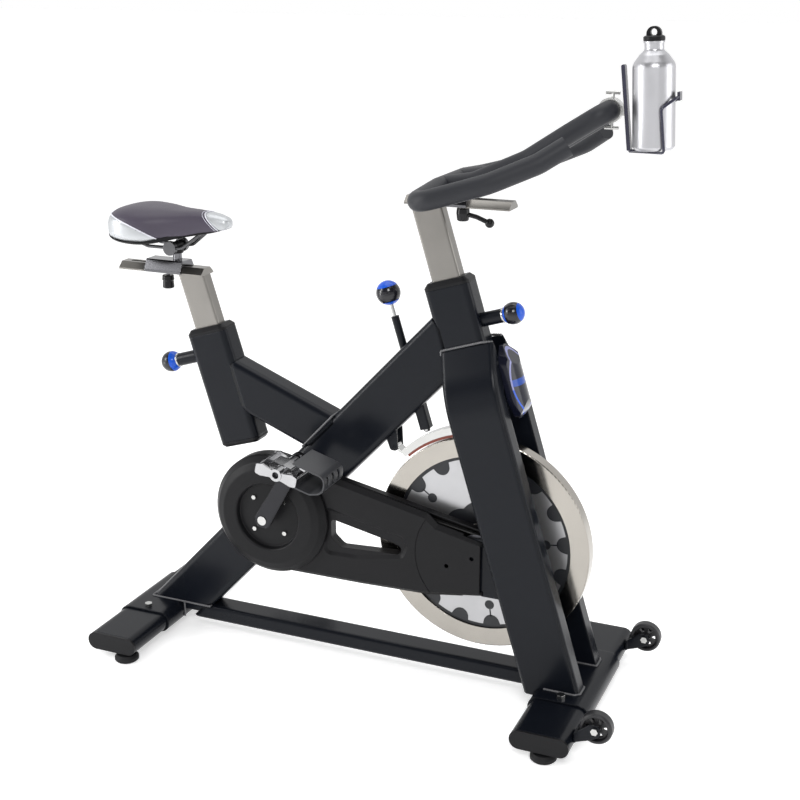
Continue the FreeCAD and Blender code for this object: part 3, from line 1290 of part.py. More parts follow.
def bolts():
    """Every visible bolt and nut of the fixed frame."""
    items = []
    for end, reach in BOLT_REACH.items():
        for side in (-1, 1):
            origin = (size(f"{end}_x"), side * reach, SLEEVE_TOP)
            items.append(hex_bolt(f"sleeve_bolt_{end}_{side}", 15, 7, 4, 3.9, origin, Z_AXIS))
    for side in (-1, 1):
        y = side * (size("leg_outer") - size("leg_thickness") + BRACKET_PLATE * HALF)
        nut = hex_bolt(f"axle_nut_{side}", 17, 4.4, 0.5, 0.1, (size("flywheel_x"), y, size("flywheel_z")),
                       V(0, side, 0))
        hole = rod(f"axle_nut_hole_{side}", size("axle_radius"), 40,
                   (size("flywheel_x"), y - 20, size("flywheel_z")), Y_AXIS)
        items.append(cut(f"axle_nut_bored_{side}", nut, hole))
        wheel = side * size("wheel_y")
        reach = size("wheel_width") * HALF + 5
        items.append(hex_bolt(f"wheel_axle_{side}", 13, 5, WHEEL_BOLT, 2 * reach,
                              (size("wheel_x"), wheel - reach, size("wheel_z")), -Y_AXIS))
    cover = size("crank_x"), size("crank_z")
    for dx, dz in ((-1, -1), (-1, 1), (1, -1), (1, 1)):
        origin = (cover[0] + dx * COVER_BOLTS, -69, cover[1] + dz * COVER_BOLTS)
        items.append(hex_bolt(f"cover_bolt_{dx}_{dz}", 9, 4, 2, 3, origin, -Y_AXIS))
    keep(group("frame_bolts", items))


COVER_BOLTS = 35.6


# ---------------------------------------------------------------- build everything

def main():
    envelopes = stabiliser_set()
    levelling_feet()
    transport_wheels()
    head_env = frame(envelopes)
    fork_legs(head_env, envelopes[1])
    sleeve_caps()
    pop_pins()
    flywheel()
    drive_train()
    pedals()
    chain_guard()
    crank_cover()
    seat_group()
    bar_group()
    bottle_group()
    badge()
    bolts()


main()
doc.recompute()
for item in NODES:
    item.Placement = FreeCAD.Placement(V(size("origin_shift"), 0, 0),
                                       FreeCAD.Rotation()).multiply(item.Placement)
doc.recompute()

failed = [item.Label for item in doc.Objects if {"Invalid", "Error"} & set(item.State)]
bad = [item.Label for item in NODES if item.Shape.isNull() or not item.Shape.isValid()]
if failed or bad:
    raise SystemExit(f"failed objects: {failed}; bad shapes: {bad}")

os.makedirs("parts", exist_ok=True)
for item in NODES:
    item.Shape.exportStep(f"parts/{item.Label}.step")
    print(item.Label, len(item.Shape.Solids), round(item.Shape.Volume))
print(len(NODES), "nodes")
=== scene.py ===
"""Indoor cycling bike: the finish, the soft saddle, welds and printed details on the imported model.

Lengths in the tables are millimetres of the design frame; at() turns them into the row frame in metres.
"""

import math

import bpy
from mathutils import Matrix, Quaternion, Vector


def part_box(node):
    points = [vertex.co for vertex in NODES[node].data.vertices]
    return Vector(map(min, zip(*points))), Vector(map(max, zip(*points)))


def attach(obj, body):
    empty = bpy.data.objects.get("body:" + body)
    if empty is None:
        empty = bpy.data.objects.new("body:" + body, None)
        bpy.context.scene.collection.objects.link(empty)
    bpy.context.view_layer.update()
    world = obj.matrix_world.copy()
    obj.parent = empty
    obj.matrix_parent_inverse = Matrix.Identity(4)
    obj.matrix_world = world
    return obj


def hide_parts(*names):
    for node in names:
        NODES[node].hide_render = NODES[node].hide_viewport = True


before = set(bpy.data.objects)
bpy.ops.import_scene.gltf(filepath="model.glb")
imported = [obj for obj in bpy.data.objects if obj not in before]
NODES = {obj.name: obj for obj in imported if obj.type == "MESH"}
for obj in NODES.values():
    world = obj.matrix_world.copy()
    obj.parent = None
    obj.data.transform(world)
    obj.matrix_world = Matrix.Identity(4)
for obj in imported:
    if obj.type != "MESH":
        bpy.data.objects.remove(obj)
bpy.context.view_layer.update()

wheel_low, wheel_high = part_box("flywheel")
SHIFT = (wheel_low.x + wheel_high.x) / 2 - 0.253
LEAN = math.radians(17.2)
AXLE = (253, 0, 321)


def at(x, y, z):
    return Vector((x / 1000 + SHIFT, y / 1000, z / 1000))


# ---------------------------------------------------------------- materials

def add_node(tree, kind, **values):
    node = tree.nodes.new(kind)
    for key, value in values.items():
        setattr(node, key, value)
    return node


def calc(tree, operation, *inputs):
    """A math node; each input is a number or an output socket."""
    node = add_node(tree, "ShaderNodeMath", operation=operation)
    for slot, value in zip(node.inputs, inputs):
        if isinstance(value, bpy.types.NodeSocket):
            tree.links.new(value, slot)
        else:
            slot.default_value = value
    return node.outputs[0]


def noise(tree, coords, scale, stretch=(1, 1, 1), detail=3.0):
    mapping = add_node(tree, "ShaderNodeMapping")
    mapping.inputs["Scale"].default_value = stretch
    tree.links.new(coords, mapping.inputs["Vector"])
    texture = add_node(tree, "ShaderNodeTexNoise")
    texture.inputs["Scale"].default_value = scale
    texture.inputs["Detail"].default_value = detail
    tree.links.new(mapping.outputs[0], texture.inputs["Vector"])
    return texture.outputs["Fac"]


def mix_color(tree, factor, first, second):
    node = add_node(tree, "ShaderNodeMix", data_type="RGBA")
    for slot, value in ((node.inputs[0], factor), (node.inputs[6], first), (node.inputs[7], second)):
        if isinstance(value, bpy.types.NodeSocket):
            tree.links.new(value, slot)
        elif isinstance(value, tuple):
            slot.default_value = (*value, 1)
        else:
            slot.default_value = value
    return node.outputs[2]


def material(name, color, rough, metal=0.0, grain=900.0, bump=0.05, depth=0.0002, spread=0.12, shade=0.12,
             stretch=(1, 1, 1), coat=0.0, sheen=0.0, edge=0.0006, shine=0.4):
    """A principled finish whose colour, roughness and surface vary with noise, with softened edges."""
    made = bpy.data.materials.new(name)
    made.use_nodes = True
    made.diffuse_color = (*color, 1)
    tree = made.node_tree
    shader = tree.nodes["Principled BSDF"]
    coords = add_node(tree, "ShaderNodeTexCoord").outputs["Object"]
    fine = noise(tree, coords, grain, stretch)
    broad = noise(tree, coords, 14.0)
    dark = tuple(c * (1 - shade) for c in color)
    light = tuple(min(1.0, c * (1 + shade)) for c in color)
    tree.links.new(mix_color(tree, broad, dark, light), shader.inputs["Base Color"])
    low, high = rough * (1 - spread), min(1.0, rough * (1 + spread))
    tree.links.new(calc(tree, "MULTIPLY_ADD", fine, high - low, low), shader.inputs["Roughness"])
    shader.inputs["Metallic"].default_value = metal
    shader.inputs["Specular IOR Level"].default_value = 0.5 if metal else shine
    shader.inputs["Coat Weight"].default_value = coat
    shader.inputs["Coat Roughness"].default_value = 0.12
    shader.inputs["Sheen Weight"].default_value = sheen
    relief = add_node(tree, "ShaderNodeBump")
    relief.inputs["Strength"].default_value = bump
    relief.inputs["Distance"].default_value = depth
    tree.links.new(fine, relief.inputs["Height"])
    if edge:
        soft = add_node(tree, "ShaderNodeBevel", samples=4)
        soft.inputs["Radius"].default_value = edge
        tree.links.new(soft.outputs[0], relief.inputs["Normal"])
    tree.links.new(relief.outputs[0], shader.inputs["Normal"])
    return made


def paint_over(made, mask, color):
    """Lays a second colour over a finish where the mask is 1."""
    tree = made.node_tree
    slot = tree.nodes["Principled BSDF"].inputs["Base Color"]
    under = slot.links[0].from_socket
    tree.links.new(mix_color(tree, mask, under, color), slot)


def position(made):
    """Outputs for x, y and z of the shaded point, in metres of the row frame at rest."""
    tree = made.node_tree
    coords = add_node(tree, "ShaderNodeTexCoord").outputs["Object"]
    parts = add_node(tree, "ShaderNodeSeparateXYZ")
    tree.links.new(coords, parts.inputs[0])
    return tree, parts.outputs[0], parts.outputs[1], parts.outputs[2]


def within(tree, value, low, high):
    above = calc(tree, "GREATER_THAN", value, low)
    below = calc(tree, "LESS_THAN", value, high)
    return calc(tree, "MULTIPLY", above, below)


BLUE = (0.006, 0.075, 0.50)
LILAC = (0.22, 0.23, 0.44)

frame_paint = material("frame_paint", (0.0045, 0.0056, 0.0085), 0.25, grain=700, bump=0.06, coat=0.04,
                       shade=0.1, shine=0.16, edge=0.005)
post_steel = material("post_steel", (0.235, 0.225, 0.21), 0.30, 1.0, grain=40, bump=0.01, spread=0.12)
rail_chrome = material("rail_chrome", (0.42, 0.42, 0.42), 0.14, 1.0, grain=300, bump=0.02)
rim_chrome = material("rim_chrome", (0.36, 0.34, 0.31), 0.16, 1.0, grain=120, bump=0.03, spread=0.25)
disc_silver = material("disc_silver", (0.42, 0.42, 0.43), 0.30, 0.85, grain=260, bump=0.03)
disc_ink = material("disc_ink", (0.014, 0.015, 0.018), 0.36, grain=500, edge=0)
slider_chrome = material("slider_chrome", (0.16, 0.16, 0.17), 0.16, 1.0, grain=300, bump=0.02)
bright_steel = material("bright_steel", (0.50, 0.50, 0.49), 0.22, 1.0, grain=400, bump=0.04)
dark_steel = material("dark_steel", (0.10, 0.10, 0.105), 0.36, 0.9, grain=400, bump=0.05)
weld_metal = material("weld_metal", (0.12, 0.12, 0.125), 0.38, 0.6, grain=500, bump=0.12, edge=0)
guard_plastic = material("guard_plastic", (0.007, 0.007, 0.008), 0.42, grain=1300, bump=0.14, depth=0.0003,
                         edge=0.0015, shine=0.16)
cap_plastic = material("cap_plastic", (0.006, 0.006, 0.007), 0.38, grain=1300, bump=0.12, shine=0.18)
knob_plastic = material("knob_plastic", (0.007, 0.007, 0.008), 0.24, grain=300, bump=0.02, coat=0.1,
                        shine=0.2)
foam = material("foam", (0.016, 0.017, 0.021), 0.50, grain=1500, bump=0.26, depth=0.0004, shade=0.08,
                edge=0, shine=0.3)
rubber = material("rubber", (0.009, 0.009, 0.010), 0.6, grain=900, bump=0.15, shine=0.2)
wheel_plastic = material("wheel_plastic", (0.016, 0.016, 0.018), 0.40, grain=700, bump=0.08)
pedal_metal = material("pedal_metal", (0.42, 0.42, 0.43), 0.24, 1.0, grain=300, bump=0.04)
toe_plastic = material("toe_plastic", (0.035, 0.036, 0.040), 0.38, grain=700, bump=0.08)
crank_metal = material("crank_metal", (0.03, 0.03, 0.033), 0.24, 0.9, grain=200, bump=0.04)
felt = material("felt", (0.20, 0.06, 0.045), 0.95, grain=900, bump=0.5, depth=0.0006, edge=0)
vinyl = material("vinyl", (0.050, 0.042, 0.062), 0.46, grain=1100, bump=0.32, depth=0.0004, edge=0)
silver_vinyl = material("silver_vinyl", (0.46, 0.475, 0.49), 0.36, 0.5, grain=700, bump=0.4, depth=0.0004,
                        edge=0)
piping = material("piping", (0.66, 0.66, 0.72), 0.40, grain=900, bump=0.1, edge=0)
thread = material("thread", (0.55, 0.55, 0.62), 0.60, grain=2000, bump=0.2, edge=0)
saddle_plastic = material("saddle_plastic", (0.005, 0.005, 0.006), 0.42, grain=900, bump=0.1, shine=0.15)
bottle_metal = material("bottle_metal", (0.50, 0.50, 0.52), 0.36, 1.0, grain=240, stretch=(1, 1, 0.03),
                        bump=0.05, spread=0.3)
cage_paint = material("cage_paint", (0.010, 0.010, 0.030), 0.26, grain=400, bump=0.03, coat=0.4)
badge_gloss = material("badge_gloss", (0.006, 0.007, 0.016), 0.16, grain=300, bump=0.01, coat=0.1, shine=0.3)
ball_gloss = material("ball_gloss", (0.007, 0.007, 0.010), 0.2, grain=300, bump=0.01, coat=0.15)
blue_gloss = material("blue_gloss", BLUE, 0.22, grain=300, bump=0.01, coat=0.1, shine=0.3)
belt_rubber = material("belt_rubber", (0.013, 0.013, 0.013), 0.6, grain=900, bump=0.2)
pulley_iron = material("pulley_iron", (0.09, 0.09, 0.10), 0.45, 0.9, grain=300, bump=0.1)

tree, px, py, pz = position(badge_gloss)
across = calc(tree, "DIVIDE", py, 0.043)
tall = calc(tree, "DIVIDE", calc(tree, "SUBTRACT", pz, 0.671), 0.0775)
oval = calc(tree, "ADD", calc(tree, "MULTIPLY", across, across), calc(tree, "MULTIPLY", tall, tall))
ring_mask = within(tree, oval, 0.62, 0.74)
paint_over(badge_gloss, calc(tree, "MULTIPLY", ring_mask, calc(tree, "GREATER_THAN", pz, 0.662)), LILAC)
paint_over(badge_gloss, calc(tree, "MULTIPLY", ring_mask, calc(tree, "LESS_THAN", pz, 0.662)), BLUE)
paint_over(badge_gloss, calc(tree, "MULTIPLY", calc(tree, "LESS_THAN", oval, 0.62),
                             within(tree, pz, 0.668, 0.681)),
           (0.006, 0.05, 0.30))

FINISH = {
    frame_paint: "stabilisers stabiliser_sleeves main_tube seat_arm seat_sleeve head_sleeve base_tube "
                 "bottom_bracket_shell fork_legs wheel_brackets pin_stubs brake_guides",
    post_steel: "seat_post bar_post",
    rail_chrome: "brake_rod",
    slider_chrome: "seat_slider bar_slider",
    rim_chrome: "flywheel",
    disc_silver: "flywheel_face_plates",
    bright_steel: "brake_leaf frame_bolts cage_clamp flywheel_axle crank_spindle bearings",
    dark_steel: "saddle_rails",
    guard_plastic: "guard_outer_shell guard_inner_shell guard_crank_cover",
    cap_plastic: "stabiliser_end_caps sleeve_caps bottle_cap saddle_clamp",
    knob_plastic: "seat_slider_knob bar_lever",
    ball_gloss: "brake_knob seat_pop_pin bar_pop_pin",
    foam: "handlebar",
    rubber: "foot_rear_right foot_rear_left foot_front_right foot_front_left",
    wheel_plastic: "transport_wheel_right transport_wheel_left",
    pedal_metal: "pedal_right pedal_left",
    toe_plastic: "toe_cage_right toe_cage_left",
    crank_metal: "crank_arm_right crank_arm_left",
    felt: "brake_pad",
    saddle_plastic: "saddle_base",
    vinyl: "saddle_pad",
    bottle_metal: "bottle",
    cage_paint: "bottle_cage",
    badge_gloss: "front_badge",
    belt_rubber: "drive_belt",
    pulley_iron: "drive_pulley flywheel_pulley",
}
for made, names in FINISH.items():
    for name in names.split():
        NODES[name].data.materials.clear()
        NODES[name].data.materials.append(made)


# ---------------------------------------------------------------- added pieces

def mesh_piece(name, points, faces, body, *finishes, smooth=True):
    """A mesh in the row frame that rides on a body."""
    data = bpy.data.meshes.new(name)
    data.from_pydata([tuple(p) for p in points], [], faces)
    data.update()
    for made in finishes:
        data.materials.append(made)
    if smooth:
        data.shade_smooth()
    piece = bpy.data.objects.new(name, data)
    bpy.context.scene.collection.objects.link(piece)
    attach(piece, body)
    return piece


def walk(path, step):
    """Points every step metres along a polyline."""
    points = []
    for start, end in zip(path, path[1:]):
        count = max(1, round((end - start).length / step))
        points += [start.lerp(end, i / count) for i in range(count)]
    return points + [path[-1]]


def tube(name, path, radius, body, made, step=0.0016, ripple=0.0, sides=10):
    """A round bead along a path, swelling and narrowing like laid weld where it has ripple."""
    centres = walk(path, step)
    points, faces = [], []
    for i, centre in enumerate(centres):
        ahead = centres[min(i + 1, len(centres) - 1)] - centres[max(i - 1, 0)]
        side = ahead.cross(Vector((0.13, 0.31, 0.94))).normalized()
        up = side.cross(ahead).normalized()
        size = radius * (1 + ripple * math.sin(i * 1.9))
        if i in (0, len(centres) - 1):
            size *= 0.4
        for j in range(sides):
            turn = 2 * math.pi * j / sides
            points.append(centre + side * (size * math.cos(turn)) + up * (size * math.sin(turn)))
    for i in range(len(centres) - 1):
        for j in range(sides):
            a, b = i * sides + j, i * sides + (j + 1) % sides
            faces.append((a, b, b + sides, a + sides))
    faces.append(tuple(range(sides - 1, -1, -1)))
    faces.append(tuple(range(len(points) - sides, len(points))))
    return mesh_piece(name, points, faces, body, made)


def weld(name, corners, radius=2.2):
    tube("weld_" + name, [at(*c) for c in corners], radius / 1000, "frame", weld_metal, ripple=0.22)


weld("main_foot", [(-533, -29.6, 62.6), (-384, -29.6, 62.6), (-384, 29.6, 62.6), (-533, 29.6, 62.6),
                   (-533, -29.6, 62.6)])
weld("base_front", [(393.4, -29.6, 30), (393.4, -29.6, 62.6), (393.4, 29.6, 62.6), (393.4, 29.6, 30)], 2.4)
weld("base_rear", [(-449.4, -29.6, 26), (-449.4, -29.6, 62)], 2.2)
for side, hand in ((-1, "right"), (1, "left")):
    weld("leg_foot_" + hand, [(417, side * 46.5, 63), (489, side * 46.5, 63), (489, side * 78, 63),
                              (480, side * 85.6, 63),
                              (417, side * 85.6, 63), (417, side * 46.5, 63)], 2.4)
    weld("leg_top_" + hand, [(167.5, side * 30.2, 712), (166.8, side * 30.4, 722), (252, side * 30.4, 749.5),
                             (272, side * 27, 752)], 2.6)
weld("seat_arm", [(-142.5, -29.8, 479.4), (-72.2, -29.8, 555), (-72.2, 29.8, 555), (-142.5, 29.8, 479.4)],
     2.2)


PRINT_LIFT, SPOT_LIFT = 10.2, 10.25
HUB_EDGE, RING_EDGE, RING_OUTSIDE = 44, 180.0, 187
LOBE_REACH, LOBE_RADIUS, DOT_REACH, DOT_RADIUS = 176, 17.5, 136, 10
FIRST_LOBE, LOBE_PITCH = math.radians(8.1), math.radians(22.5)


def disc_point(radius, turn, side):
    return at(AXLE[0] + radius * math.cos(turn), side * PRINT_LIFT, AXLE[2] + radius * math.sin(turn))


def print_band(name, inner, outer, side, count=720):
    """A printed band between two radii, each a function of the angle."""
    points, faces = [], []
    for i in range(count):
        turn = 2 * math.pi * i / count
        points += [disc_point(inner(turn), turn, side), disc_point(outer(turn), turn, side)]
    for i in range(count):
        a, b = 2 * i, 2 * ((i + 1) % count)
        faces.append((a, a + 1, b + 1, b) if side < 0 else (a, b, b + 1, a + 1))
    mesh_piece(name, points, faces, "flywheel_set", disc_ink, smooth=False)


def print_spots(name, spots, side, count=32):
    """Round printed spots, each a radius out from the axle, an angle and its own radius."""
    points, faces = [], []
    for reach, turn, size in spots:
        first = len(points)
        middle = (AXLE[0] + reach * math.cos(turn), AXLE[2] + reach * math.sin(turn))
        for j in range(count):
            around_spot = 2 * math.pi * j / count
            points.append(at(middle[0] + size * math.cos(around_spot), side * SPOT_LIFT,
                             middle[1] + size * math.sin(around_spot)))
        faces.append(tuple(range(first, first + count)[::-side]))
    mesh_piece(name, points, faces, "flywheel_set", disc_ink, smooth=False)


def print_spokes(name, angles, near, far, wide, side):
    """Thin radial lines that join each spot to the lobe outside it."""
    points, faces = [], []
    for turn in angles:
        first = len(points)
        for radius, offset in ((near, -wide), (far, -wide), (far, wide), (near, wide)):
            points.append(disc_point(radius, turn + offset / radius, side))
        faces.append(tuple(range(first, first + 4)[::-side]))
    mesh_piece(name, points, faces, "flywheel_set", disc_ink, smooth=False)


def inner_edge(turn):
    """The outer ring's inner edge, scooped out by the row of round lobes that hang from it."""
    nearest = (turn - FIRST_LOBE + LOBE_PITCH / 2) % LOBE_PITCH - LOBE_PITCH / 2
    across = LOBE_REACH * math.sin(nearest)
    if abs(across) >= LOBE_RADIUS:
        return RING_EDGE
    return min(RING_EDGE, LOBE_REACH - math.sqrt(LOBE_RADIUS ** 2 - across ** 2))


def scalloped_hub(turn):
    return 80 + 9 * abs(math.cos(4 * (turn - FIRST_LOBE)))


lobe_angles = [FIRST_LOBE + LOBE_PITCH * k for k in range(16)]
for side, hand in ((-1, "right"), (1, "left")):
    print_band(f"print_ring_{hand}", inner_edge, lambda turn: RING_OUTSIDE, side)
    print_band(f"print_hub_{hand}", lambda turn: HUB_EDGE, scalloped_hub, side)
    print_spots(f"print_dots_{hand}", [(DOT_REACH, turn, DOT_RADIUS) for turn in lobe_angles[::2]], side)
    print_spokes(f"print_spokes_{hand}", lobe_angles[::2], 142, 162, 1.5, side)


def hoop(name, centre, axis, radius, thick, body, made, count=48, sides=10):
    """A torus about an axis."""
    axis = Vector(axis).normalized()
    side = axis.cross(Vector((0, 1, 0.001))).normalized()
    up = axis.cross(side)
    points, faces = [], []
    for i in range(count):
        turn = 2 * math.pi * i / count
        out = side * math.cos(turn) + up * math.sin(turn)
        for j in range(sides):
            small = 2 * math.pi * j / sides
            reach = radius + thick * math.cos(small)
            points.append(centre + out * reach + axis * (thick * math.sin(small)))
    for i in range(count):
        for j in range(sides):
            a, b = i * sides, ((i + 1) % count) * sides
            k = (j + 1) % sides
            faces.append((a + j, a + k, b + k, b + j))
    return mesh_piece(name, points, faces, body, made)


def cap_of_ball(name, centre, axis, radius, opening, body, made, count=40, rows=10):
    """A spherical cap laid over a ball, opening degrees from its axis."""
    axis = Vector(axis).normalized()
    side = axis.cross(Vector((0, 1, 0.001))).normalized()
    up = axis.cross(side)
    points, faces = [centre + axis * radius], []
    for i in range(1, rows + 1):
        fall = math.radians(opening) * i / rows
        for j in range(count):
            turn = 2 * math.pi * j / count
            out = side * math.cos(turn) + up * math.sin(turn)
            points.append(centre + axis * (radius * math.cos(fall)) + out * (radius * math.sin(fall)))
    for j in range(count):
        faces.append((0, 1 + j, 1 + (j + 1) % count))
    for i in range(rows - 1):
        for j in range(count):
            a, k = 1 + i * count, (j + 1) % count
            faces.append((a + j, a + count + j, a + count + k, a + k))
    return mesh_piece(name, points, faces, body, made)


STUB_START, STUB_GAP, PAINT = 47.5, 2, 0.0004

for pin, node, sign, reach, ball, end in (
        ((-361.5, 685, -31), "seat_pin", -1, 57, 22.5, 0), ((177, 835.7, -66.5), "bar_pin", 1, 46, 22, 52)):
    axis = Vector((sign * math.cos(LEAN), 0, sign * math.sin(LEAN)))
    origin = at(pin[0] - pin[2] * math.sin(LEAN), 0, pin[1] + pin[2] * math.cos(LEAN))
    middle = origin + axis * ((STUB_START + reach + STUB_GAP + ball * 0.72) / 1000)
    painted = ball / 1000 + PAINT
    cap_of_ball(node + "_band", middle, -axis, painted, 58 if end else 74, node, blue_gloss)
    if end:
        cap_of_ball(node + "_cap", middle, axis, painted, end, node, blue_gloss)
    stub_end = origin + axis * ((STUB_START + reach - STUB_GAP) / 1000)
    hoop(node + "_nut", stub_end, axis, 0.0125, 0.0028, "frame", bright_steel)

ball_low, ball_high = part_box("brake_knob")
knob_axis = Vector((-math.sin(LEAN), 0, math.cos(LEAN)))
knob_radius = (ball_high.y - ball_low.y) / 2
knob_middle = Vector(((ball_low.x + ball_high.x) / 2, 0, ball_high.z - knob_radius * 0.98))
cap_of_ball("brake_knob_cap", knob_middle, knob_axis, knob_radius + 0.0003, 58, "brake_knob", blue_gloss)
cap_of_ball("brake_knob_band", knob_middle, -knob_axis, knob_radius + 0.0003, 46, "brake_knob", blue_gloss)

# ---------------------------------------------------------------- saddle

SECTIONS = [
    (-572, 57, 899, 946), (-558, 75.5, 893.5, 954), (-525, 86.5, 888.5, 959.5), (-480, 79.5, 887.5, 958.5),
    (-430, 53.5, 896.5, 955.5), (-380, 33.5, 906.5, 954.5), (-340, 24.5, 914.5, 950.5), (-316, 17, 920, 944),
    (-310, 16, 921, 942)]


def smooth_section(x):
    """Half width, lowest and highest point of the pad at x, eased between the table's rows."""
    rows = SECTIONS
    if x <= rows[0][0]:
        return rows[0][1:]
    for k in range(len(rows) - 1):
        a, b = rows[k], rows[k + 1]
        if x <= b[0]:
            before, after = rows[max(k - 1, 0)], rows[min(k + 2, len(rows) - 1)]
            t = (x - a[0]) / (b[0] - a[0])
            out = []
            for c in (1, 2, 3):
                m0 = (b[c] - before[c]) / (b[0] - before[0]) * (b[0] - a[0])
                m1 = (after[c] - a[c]) / (after[0] - a[0]) * (b[0] - a[0])
                out.append((2 * t ** 3 - 3 * t ** 2 + 1) * a[c] + (t ** 3 - 2 * t ** 2 + t) * m0
                           + (3 * t ** 2 - 2 * t ** 3) * b[c] + (t ** 3 - t ** 2) * m1)
            return out
    return rows[-1][1:]


REAR, NOSE = -576.0, -309.5


def round_end(x):
    """How far the outline has opened, from 0 at either tip of the saddle to 1 on its body."""
    rear = min(1.0, (x - REAR) / 7)
    nose = min(1.0, (NOSE - x) / 11)
    return math.sqrt(max(0.0, 1 - (1 - rear) ** 2)) * math.sqrt(max(0.0, 1 - (1 - nose) ** 2))


def signed_power(value, power):
    return math.copysign(abs(value) ** power, value)


def rear_seam(x):
    """Height of the slanting seam above which the dark cover starts, at the rear of the saddle."""
    from_tail = x + 574
    return 946 - 0.06 * from_tail - 0.0026 * from_tail ** 2 if x < -436 else -1e3


def nose_seam(z):
    return -362 + 0.95 * (952 - z)


def skin_point(x, turn, lift=0.0):
    half, low, high = smooth_section(x)
    open_by = round_end(x)
    middle = (low + high) / 2 + 3 * (1 - open_by)
    tall = (high - low) / 2 * open_by
    above = math.sin(turn) > 0
    y = (half * open_by + lift) * signed_power(math.cos(turn), 0.52 if above else 0.34)
    z = middle + (tall + lift) * signed_power(math.sin(turn), 0.72 if above else 0.5)
    if above:
        z -= 4.0 * open_by * (y / max(half, 1)) ** 2
    return x, y, z


def seam_valley(x, z):
    """Depth of the stitched valley at a point of the skin."""
    gap = min(abs(z - rear_seam(x)), abs(x - nose_seam(z)))
    return -1.1 * math.exp(-((gap / 3.2) ** 2))


columns = [REAR + (NOSE - REAR) * (0.5 - 0.5 * math.cos(math.pi * i / 150)) for i in range(151)]
around = 88
points, faces = [], []
for x in columns:
    for j in range(around):
        turn = 2 * math.pi * j / around
        plain = skin_point(x, turn)
        points.append(at(*skin_point(x, turn, seam_valley(plain[0], plain[2]) * round_end(x))))
for i in range(len(columns) - 1):
    for j in range(around):
        a, k = i * around, (j + 1) % around
        faces.append((a + j, a + k, a + around + k, a + around + j))
skin = mesh_piece("saddle_skin", points, faces, "saddle", vinyl, silver_vinyl)
for face in skin.data.polygons:
    centre = face.center
    x, z = (centre.x - SHIFT) * 1000, centre.z * 1000
    silver = z < rear_seam(x) or x > nose_seam(z)
    face.material_index = 1 if silver else 0
rounding = skin.modifiers.new("rounding", "SUBSURF")
rounding.levels = 1
rounding.render_levels = 1
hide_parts("saddle_pad")


def find_turn(x, wanted):
    """The angle on the near side at which the skin reaches the wanted height at x."""
    low, high = -math.pi / 2, math.pi / 2
    for _ in range(40):
        middle = (low + high) / 2
        if skin_point(x, middle)[2] < wanted:
            low = middle
        else:
            high = middle
    return (low + high) / 2


def seam_line(side):
    """Points of the rear seam from its low end to the saddle's tail, on one side."""
    line = []
    for i in range(70):
        x = -446 + (REAR + 446 + 0.6) * math.sin(math.pi / 2 * i / 69)
        low = smooth_section(x)[1]
        wanted = rear_seam(x)
        if wanted > low:
            skin_x, skin_y, skin_z = skin_point(x, find_turn(x, wanted))
            line.append(at(skin_x, side * skin_y, skin_z))
    return line


right_seam, left_seam = seam_line(-1), seam_line(1)
tube("saddle_piping", right_seam + left_seam[::-1], 0.0013, "saddle", piping, step=0.003, sides=8)


def nose_line(offset):
    """A stitch line over the nose, from the near lower edge across the top to the far one."""
    line = []
    for j in range(61):
        turn = math.radians(-50 + 280 * j / 60)
        x = -345.0
        for _ in range(12):
            x = 0.5 * x + 0.5 * (nose_seam(skin_point(x, turn)[2]) + offset)
        line.append(at(*skin_point(x, turn, 0.1)))
    return line


tube("nose_piping", nose_line(0), 0.0011, "saddle", piping, step=0.003, sides=8)
tube("nose_stitch", nose_line(-6), 0.0006, "saddle", thread, step=0.003, sides=6)

# ---------------------------------------------------------------- stage, lights and camera

def plane(name, size, place, turn, made):
    data = bpy.data.meshes.new(name)
    half = size / 2
    data.from_pydata([(-half, -half, 0), (half, -half, 0), (half, half, 0), (-half, half, 0)], [],
                     [(0, 1, 2, 3)])
    data.materials.append(made)
    piece = bpy.data.objects.new(name, data)
    piece.location = place
    piece.rotation_euler = turn
    bpy.context.scene.collection.objects.link(piece)
    return piece


floor_paint = bpy.data.materials.new("floor_paint")
floor_paint.use_nodes = True
floor_shader = floor_paint.node_tree.nodes["Principled BSDF"]
floor_shader.inputs["Base Color"].default_value = (0.86, 0.86, 0.86, 1)
floor_shader.inputs["Emission Color"].default_value = (1, 1, 1, 1)
floor_shader.inputs["Emission Strength"].default_value = 0.5
floor_shader.inputs["Roughness"].default_value = 0.9
plane("floor", 60, (0, 0, -0.0006), (0, 0, 0), floor_paint)


def area_light(name, place, target, power, wide, tall):
    data = bpy.data.lights.new(name, "AREA")
    data.shape = "RECTANGLE"
    data.size = wide
    data.size_y = tall
    data.energy = power
    lamp = bpy.data.objects.new(name, data)
    lamp.location = place
    lamp.rotation_mode = "QUATERNION"
    lamp.rotation_quaternion = (Vector(target) - Vector(place)).to_track_quat("-Z", "Y")
    bpy.context.scene.collection.objects.link(lamp)


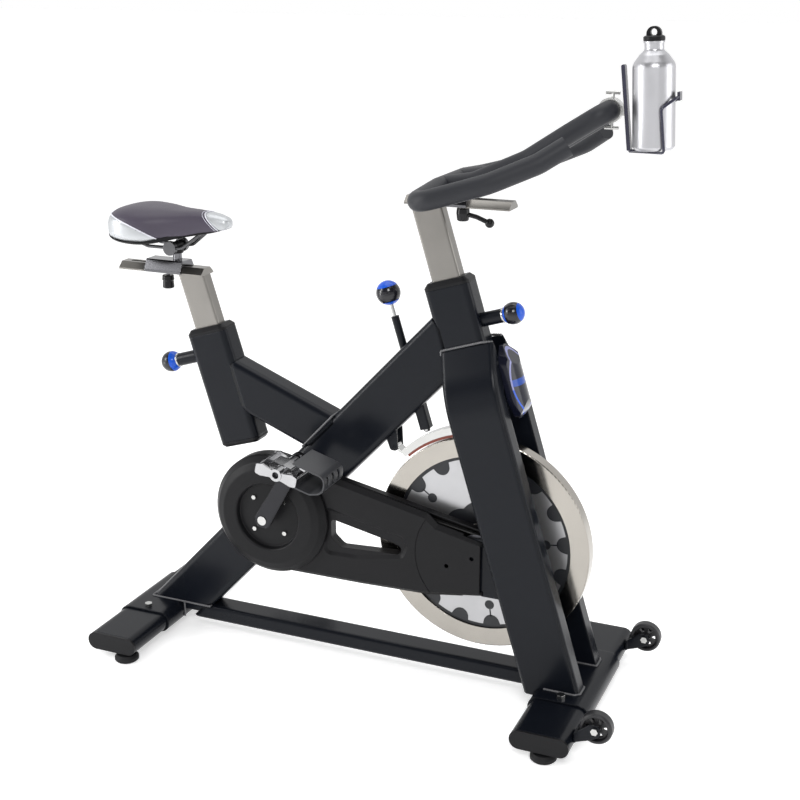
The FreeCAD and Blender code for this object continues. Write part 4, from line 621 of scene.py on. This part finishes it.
area_light("key", (1.6, -3.2, 3.4), (0, 0, 0.6), 78, 1.3, 1.3)
area_light("fill", (-3.4, -2.2, 2.0), (0, 0, 0.6), 34, 2.2, 2.6)
area_light("top", (0.0, 0.4, 4.2), (0, 0, 0.4), 62, 3.2, 3.2)
area_light("side", (3.4, 0.6, 1.6), (0, 0, 0.6), 32, 1.6, 2.6)
area_light("strip", (-2.4, -1.5, 1.3), (0, 0, 0.6), 34, 0.3, 2.6)

world = bpy.data.worlds.new("studio")
world.use_nodes = True
sky = world.node_tree.nodes["Background"]
tree = world.node_tree
direction = add_node(tree, "ShaderNodeSeparateXYZ")
tree.links.new(add_node(tree, "ShaderNodeTexCoord").outputs["Generated"], direction.inputs[0])
toward_room = calc(tree, "SUBTRACT", calc(tree, "MULTIPLY", direction.outputs[0], 0.39),
                   calc(tree, "MULTIPLY", direction.outputs[1], 0.92))
ramp = add_node(tree, "ShaderNodeMapRange", interpolation_type="SMOOTHSTEP")
ramp.inputs["From Min"].default_value = -0.55
ramp.inputs["From Max"].default_value = 0.45
ramp.inputs["To Min"].default_value = 1.0
ramp.inputs["To Max"].default_value = 0.13
tree.links.new(toward_room, ramp.inputs["Value"])
horizon = add_node(tree, "ShaderNodeMapRange", interpolation_type="SMOOTHSTEP")
horizon.inputs["From Min"].default_value = 0.10
horizon.inputs["From Max"].default_value = 0.40
horizon.inputs["To Min"].default_value = 0.97
horizon.inputs["To Max"].default_value = 0.0
tree.links.new(direction.outputs[2], horizon.inputs["Value"])
brightness = calc(tree, "MAXIMUM", ramp.outputs[0], horizon.outputs[0])
tree.links.new(mix_color(tree, brightness, (0.0, 0.0, 0.0), (1.0, 1.0, 1.0)), sky.inputs["Color"])
sky.inputs["Strength"].default_value = 1.0
bpy.context.scene.world = world
bpy.context.scene.view_settings.view_transform = "Standard"

lens = bpy.data.cameras.new("camera")
lens.lens = 61.97
lens.sensor_width = 36
camera = bpy.data.objects.new("camera", lens)
bpy.context.scene.collection.objects.link(camera)
azimuth, elevation, roll = math.radians(22.9535), math.radians(17.9793), math.radians(0.11)
back = Vector((math.sin(azimuth) * math.cos(elevation), -math.cos(azimuth) * math.cos(elevation),
               math.sin(elevation)))
camera.location = at(1102.5, -2444.2, 1461.25)
camera.rotation_mode = "QUATERNION"
turned = (-back).to_track_quat("-Z", "Y")
turned.rotate(Quaternion(back, roll))
camera.rotation_quaternion = turned
bpy.context.scene.camera = camera
